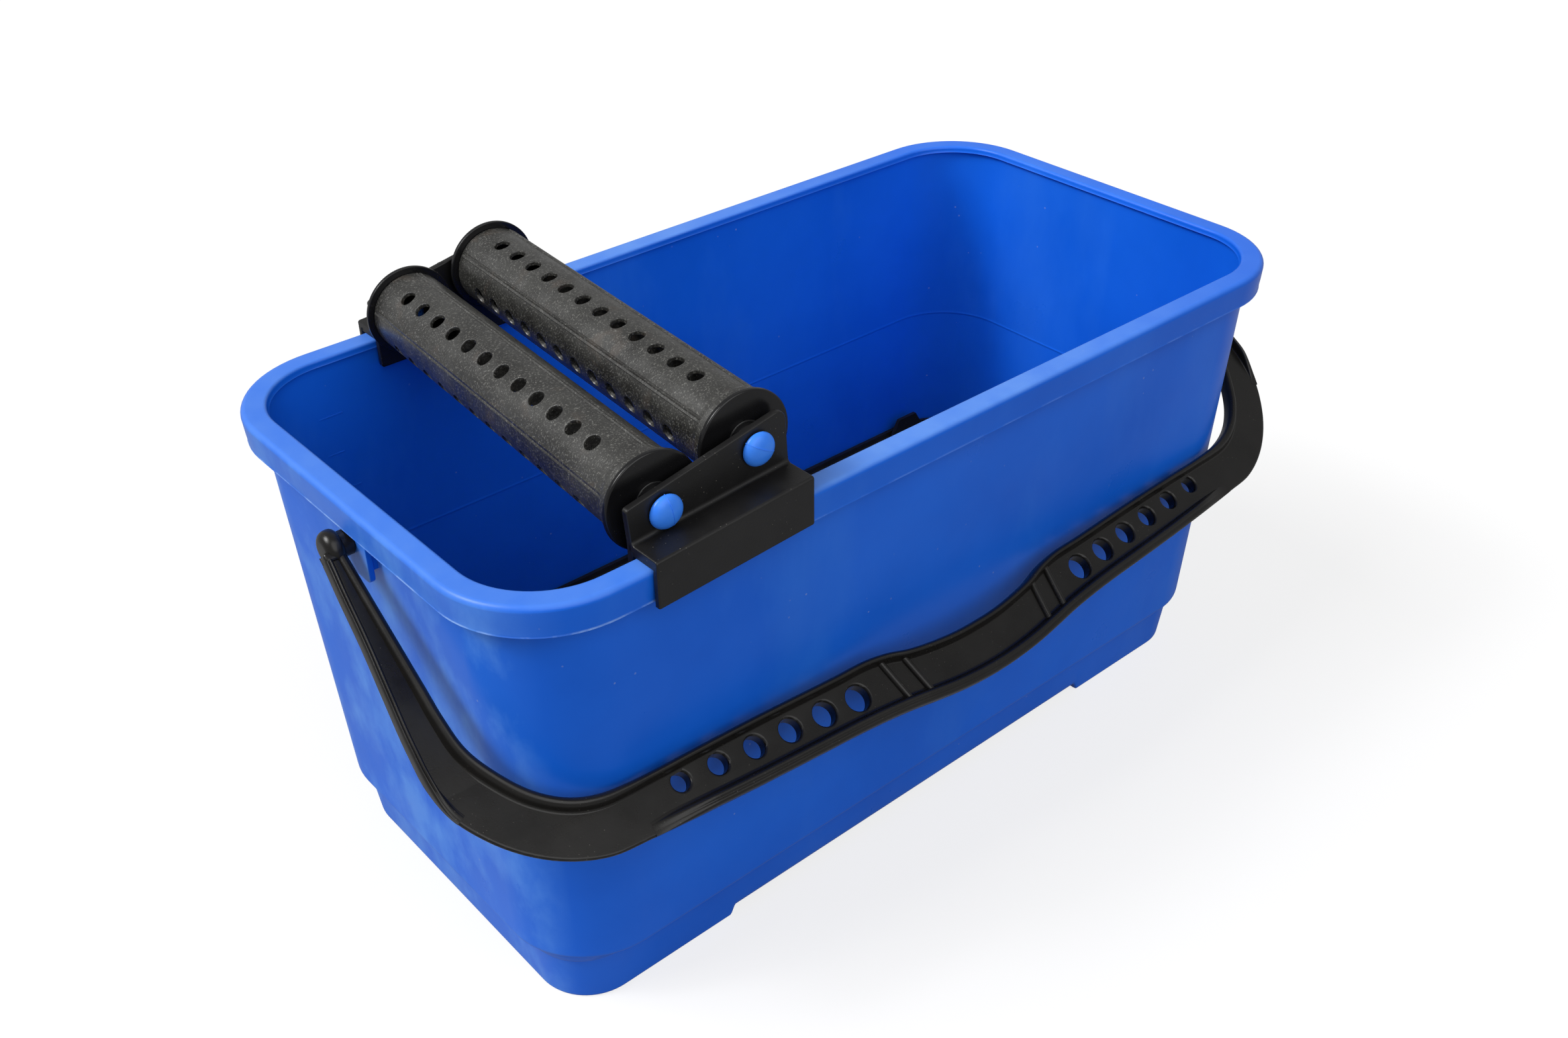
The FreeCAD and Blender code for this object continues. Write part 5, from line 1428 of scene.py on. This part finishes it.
# %% [markdown]
# ## Floor and light
#
# The picture has a white ground and one broad light from above, from the left and a little from
# behind: the left end and the inner right wall are bright, the front is calmer, and the inside of
# the left wall is deep blue. A wide sun lamp gives that direction with a soft shadow, a weaker one
# lifts the front, a narrow one puts the fine bright lines on rounded edges, and the world gives
# the rest. What the camera sees of the ground and the world is turned white on its own, so that
# no white light washes out the plastic. Gloss sees a part of that white.

# %% Whiteness for the camera
GLOSS_PART = 0.15


def greater(tree, first, second):
    """The greater of two values."""
    node = add_node(tree, "ShaderNodeMath", operation="MAXIMUM")
    tree.links.new(first, node.inputs[0])
    tree.links.new(second, node.inputs[1])
    return node.outputs["Value"]


def whiteness(tree):
    """1 for what the camera sees, also through something clear, a part of it for gloss."""
    ray = add_node(tree, "ShaderNodeLightPath").outputs
    seen = greater(tree, ray["Is Camera Ray"], ray["Is Transmission Ray"])
    return greater(tree, seen, multiply(tree, ray["Is Glossy Ray"], GLOSS_PART))


# %% Floor
FLOOR = 6.0
FLOOR_COLOUR = 0.25
floor_mesh = bpy.data.meshes.new("floor")
floor_corners = [(-FLOOR, -FLOOR, 0), (FLOOR, -FLOOR, 0), (FLOOR, FLOOR, 0), (-FLOOR, FLOOR, 0)]
floor_mesh.from_pydata(floor_corners, [], [(0, 1, 2, 3)])
floor_paint, floor_tree, floor_shader = start_finish("pale_floor", 0.0)
floor_shader.inputs["Base Color"].default_value = (FLOOR_COLOUR, FLOOR_COLOUR, FLOOR_COLOUR, 1.0)
floor_shader.inputs["Roughness"].default_value = 0.9
floor_shader.inputs["Emission Color"].default_value = (1.0, 1.0, 1.0, 1.0)
floor_tree.links.new(multiply(floor_tree, whiteness(floor_tree), 1.0 - FLOOR_COLOUR),
                     floor_shader.inputs["Emission Strength"])
floor_mesh.materials.append(floor_paint)
floor = bpy.data.objects.new("floor", floor_mesh)
bpy.context.scene.collection.objects.link(floor)
print("floor:", 2 * FLOOR, "metres wide")

# %% World
WORLD_LIGHT = 0.28
world = bpy.data.worlds.new("studio")
bpy.context.scene.world = world
world.use_nodes = True
sky = world.node_tree
background = sky.nodes["Background"]
background.inputs["Color"].default_value = (1.0, 1.0, 1.0, 1.0)
strength = remap(sky, whiteness(sky), 0.0, 1.0, WORLD_LIGHT, 1.0)
sky.links.new(strength, background.inputs["Strength"])
print("world lights the bucket with a strength of", WORLD_LIGHT)


# %% Lamps
def add_sun(name, towards, power, spread):
    """A sun lamp; towards is the direction in which it stands, spread its width in degrees."""
    lamp_data = bpy.data.lights.new(name, "SUN")
    lamp_data.energy = power
    lamp_data.angle = math.radians(spread)
    lamp = bpy.data.objects.new(name, lamp_data)
    lamp.location = Vector(towards).normalized() * 2.0
    lamp.rotation_euler = Vector(towards).to_track_quat("Z", "Y").to_euler()
    bpy.context.scene.collection.objects.link(lamp)
    print(name, "has a power of", power, "and is", spread, "degrees wide")


WINDOW = (-0.62, 0.30, 0.72)
add_sun("key_lamp", WINDOW, 2.3, 36)
add_sun("front_fill", (-0.1, -0.8, 0.6), 1.25, 60)
add_sun("window_glint", WINDOW, 0.55, 9)
bpy.context.scene.view_settings.view_transform = "Standard"
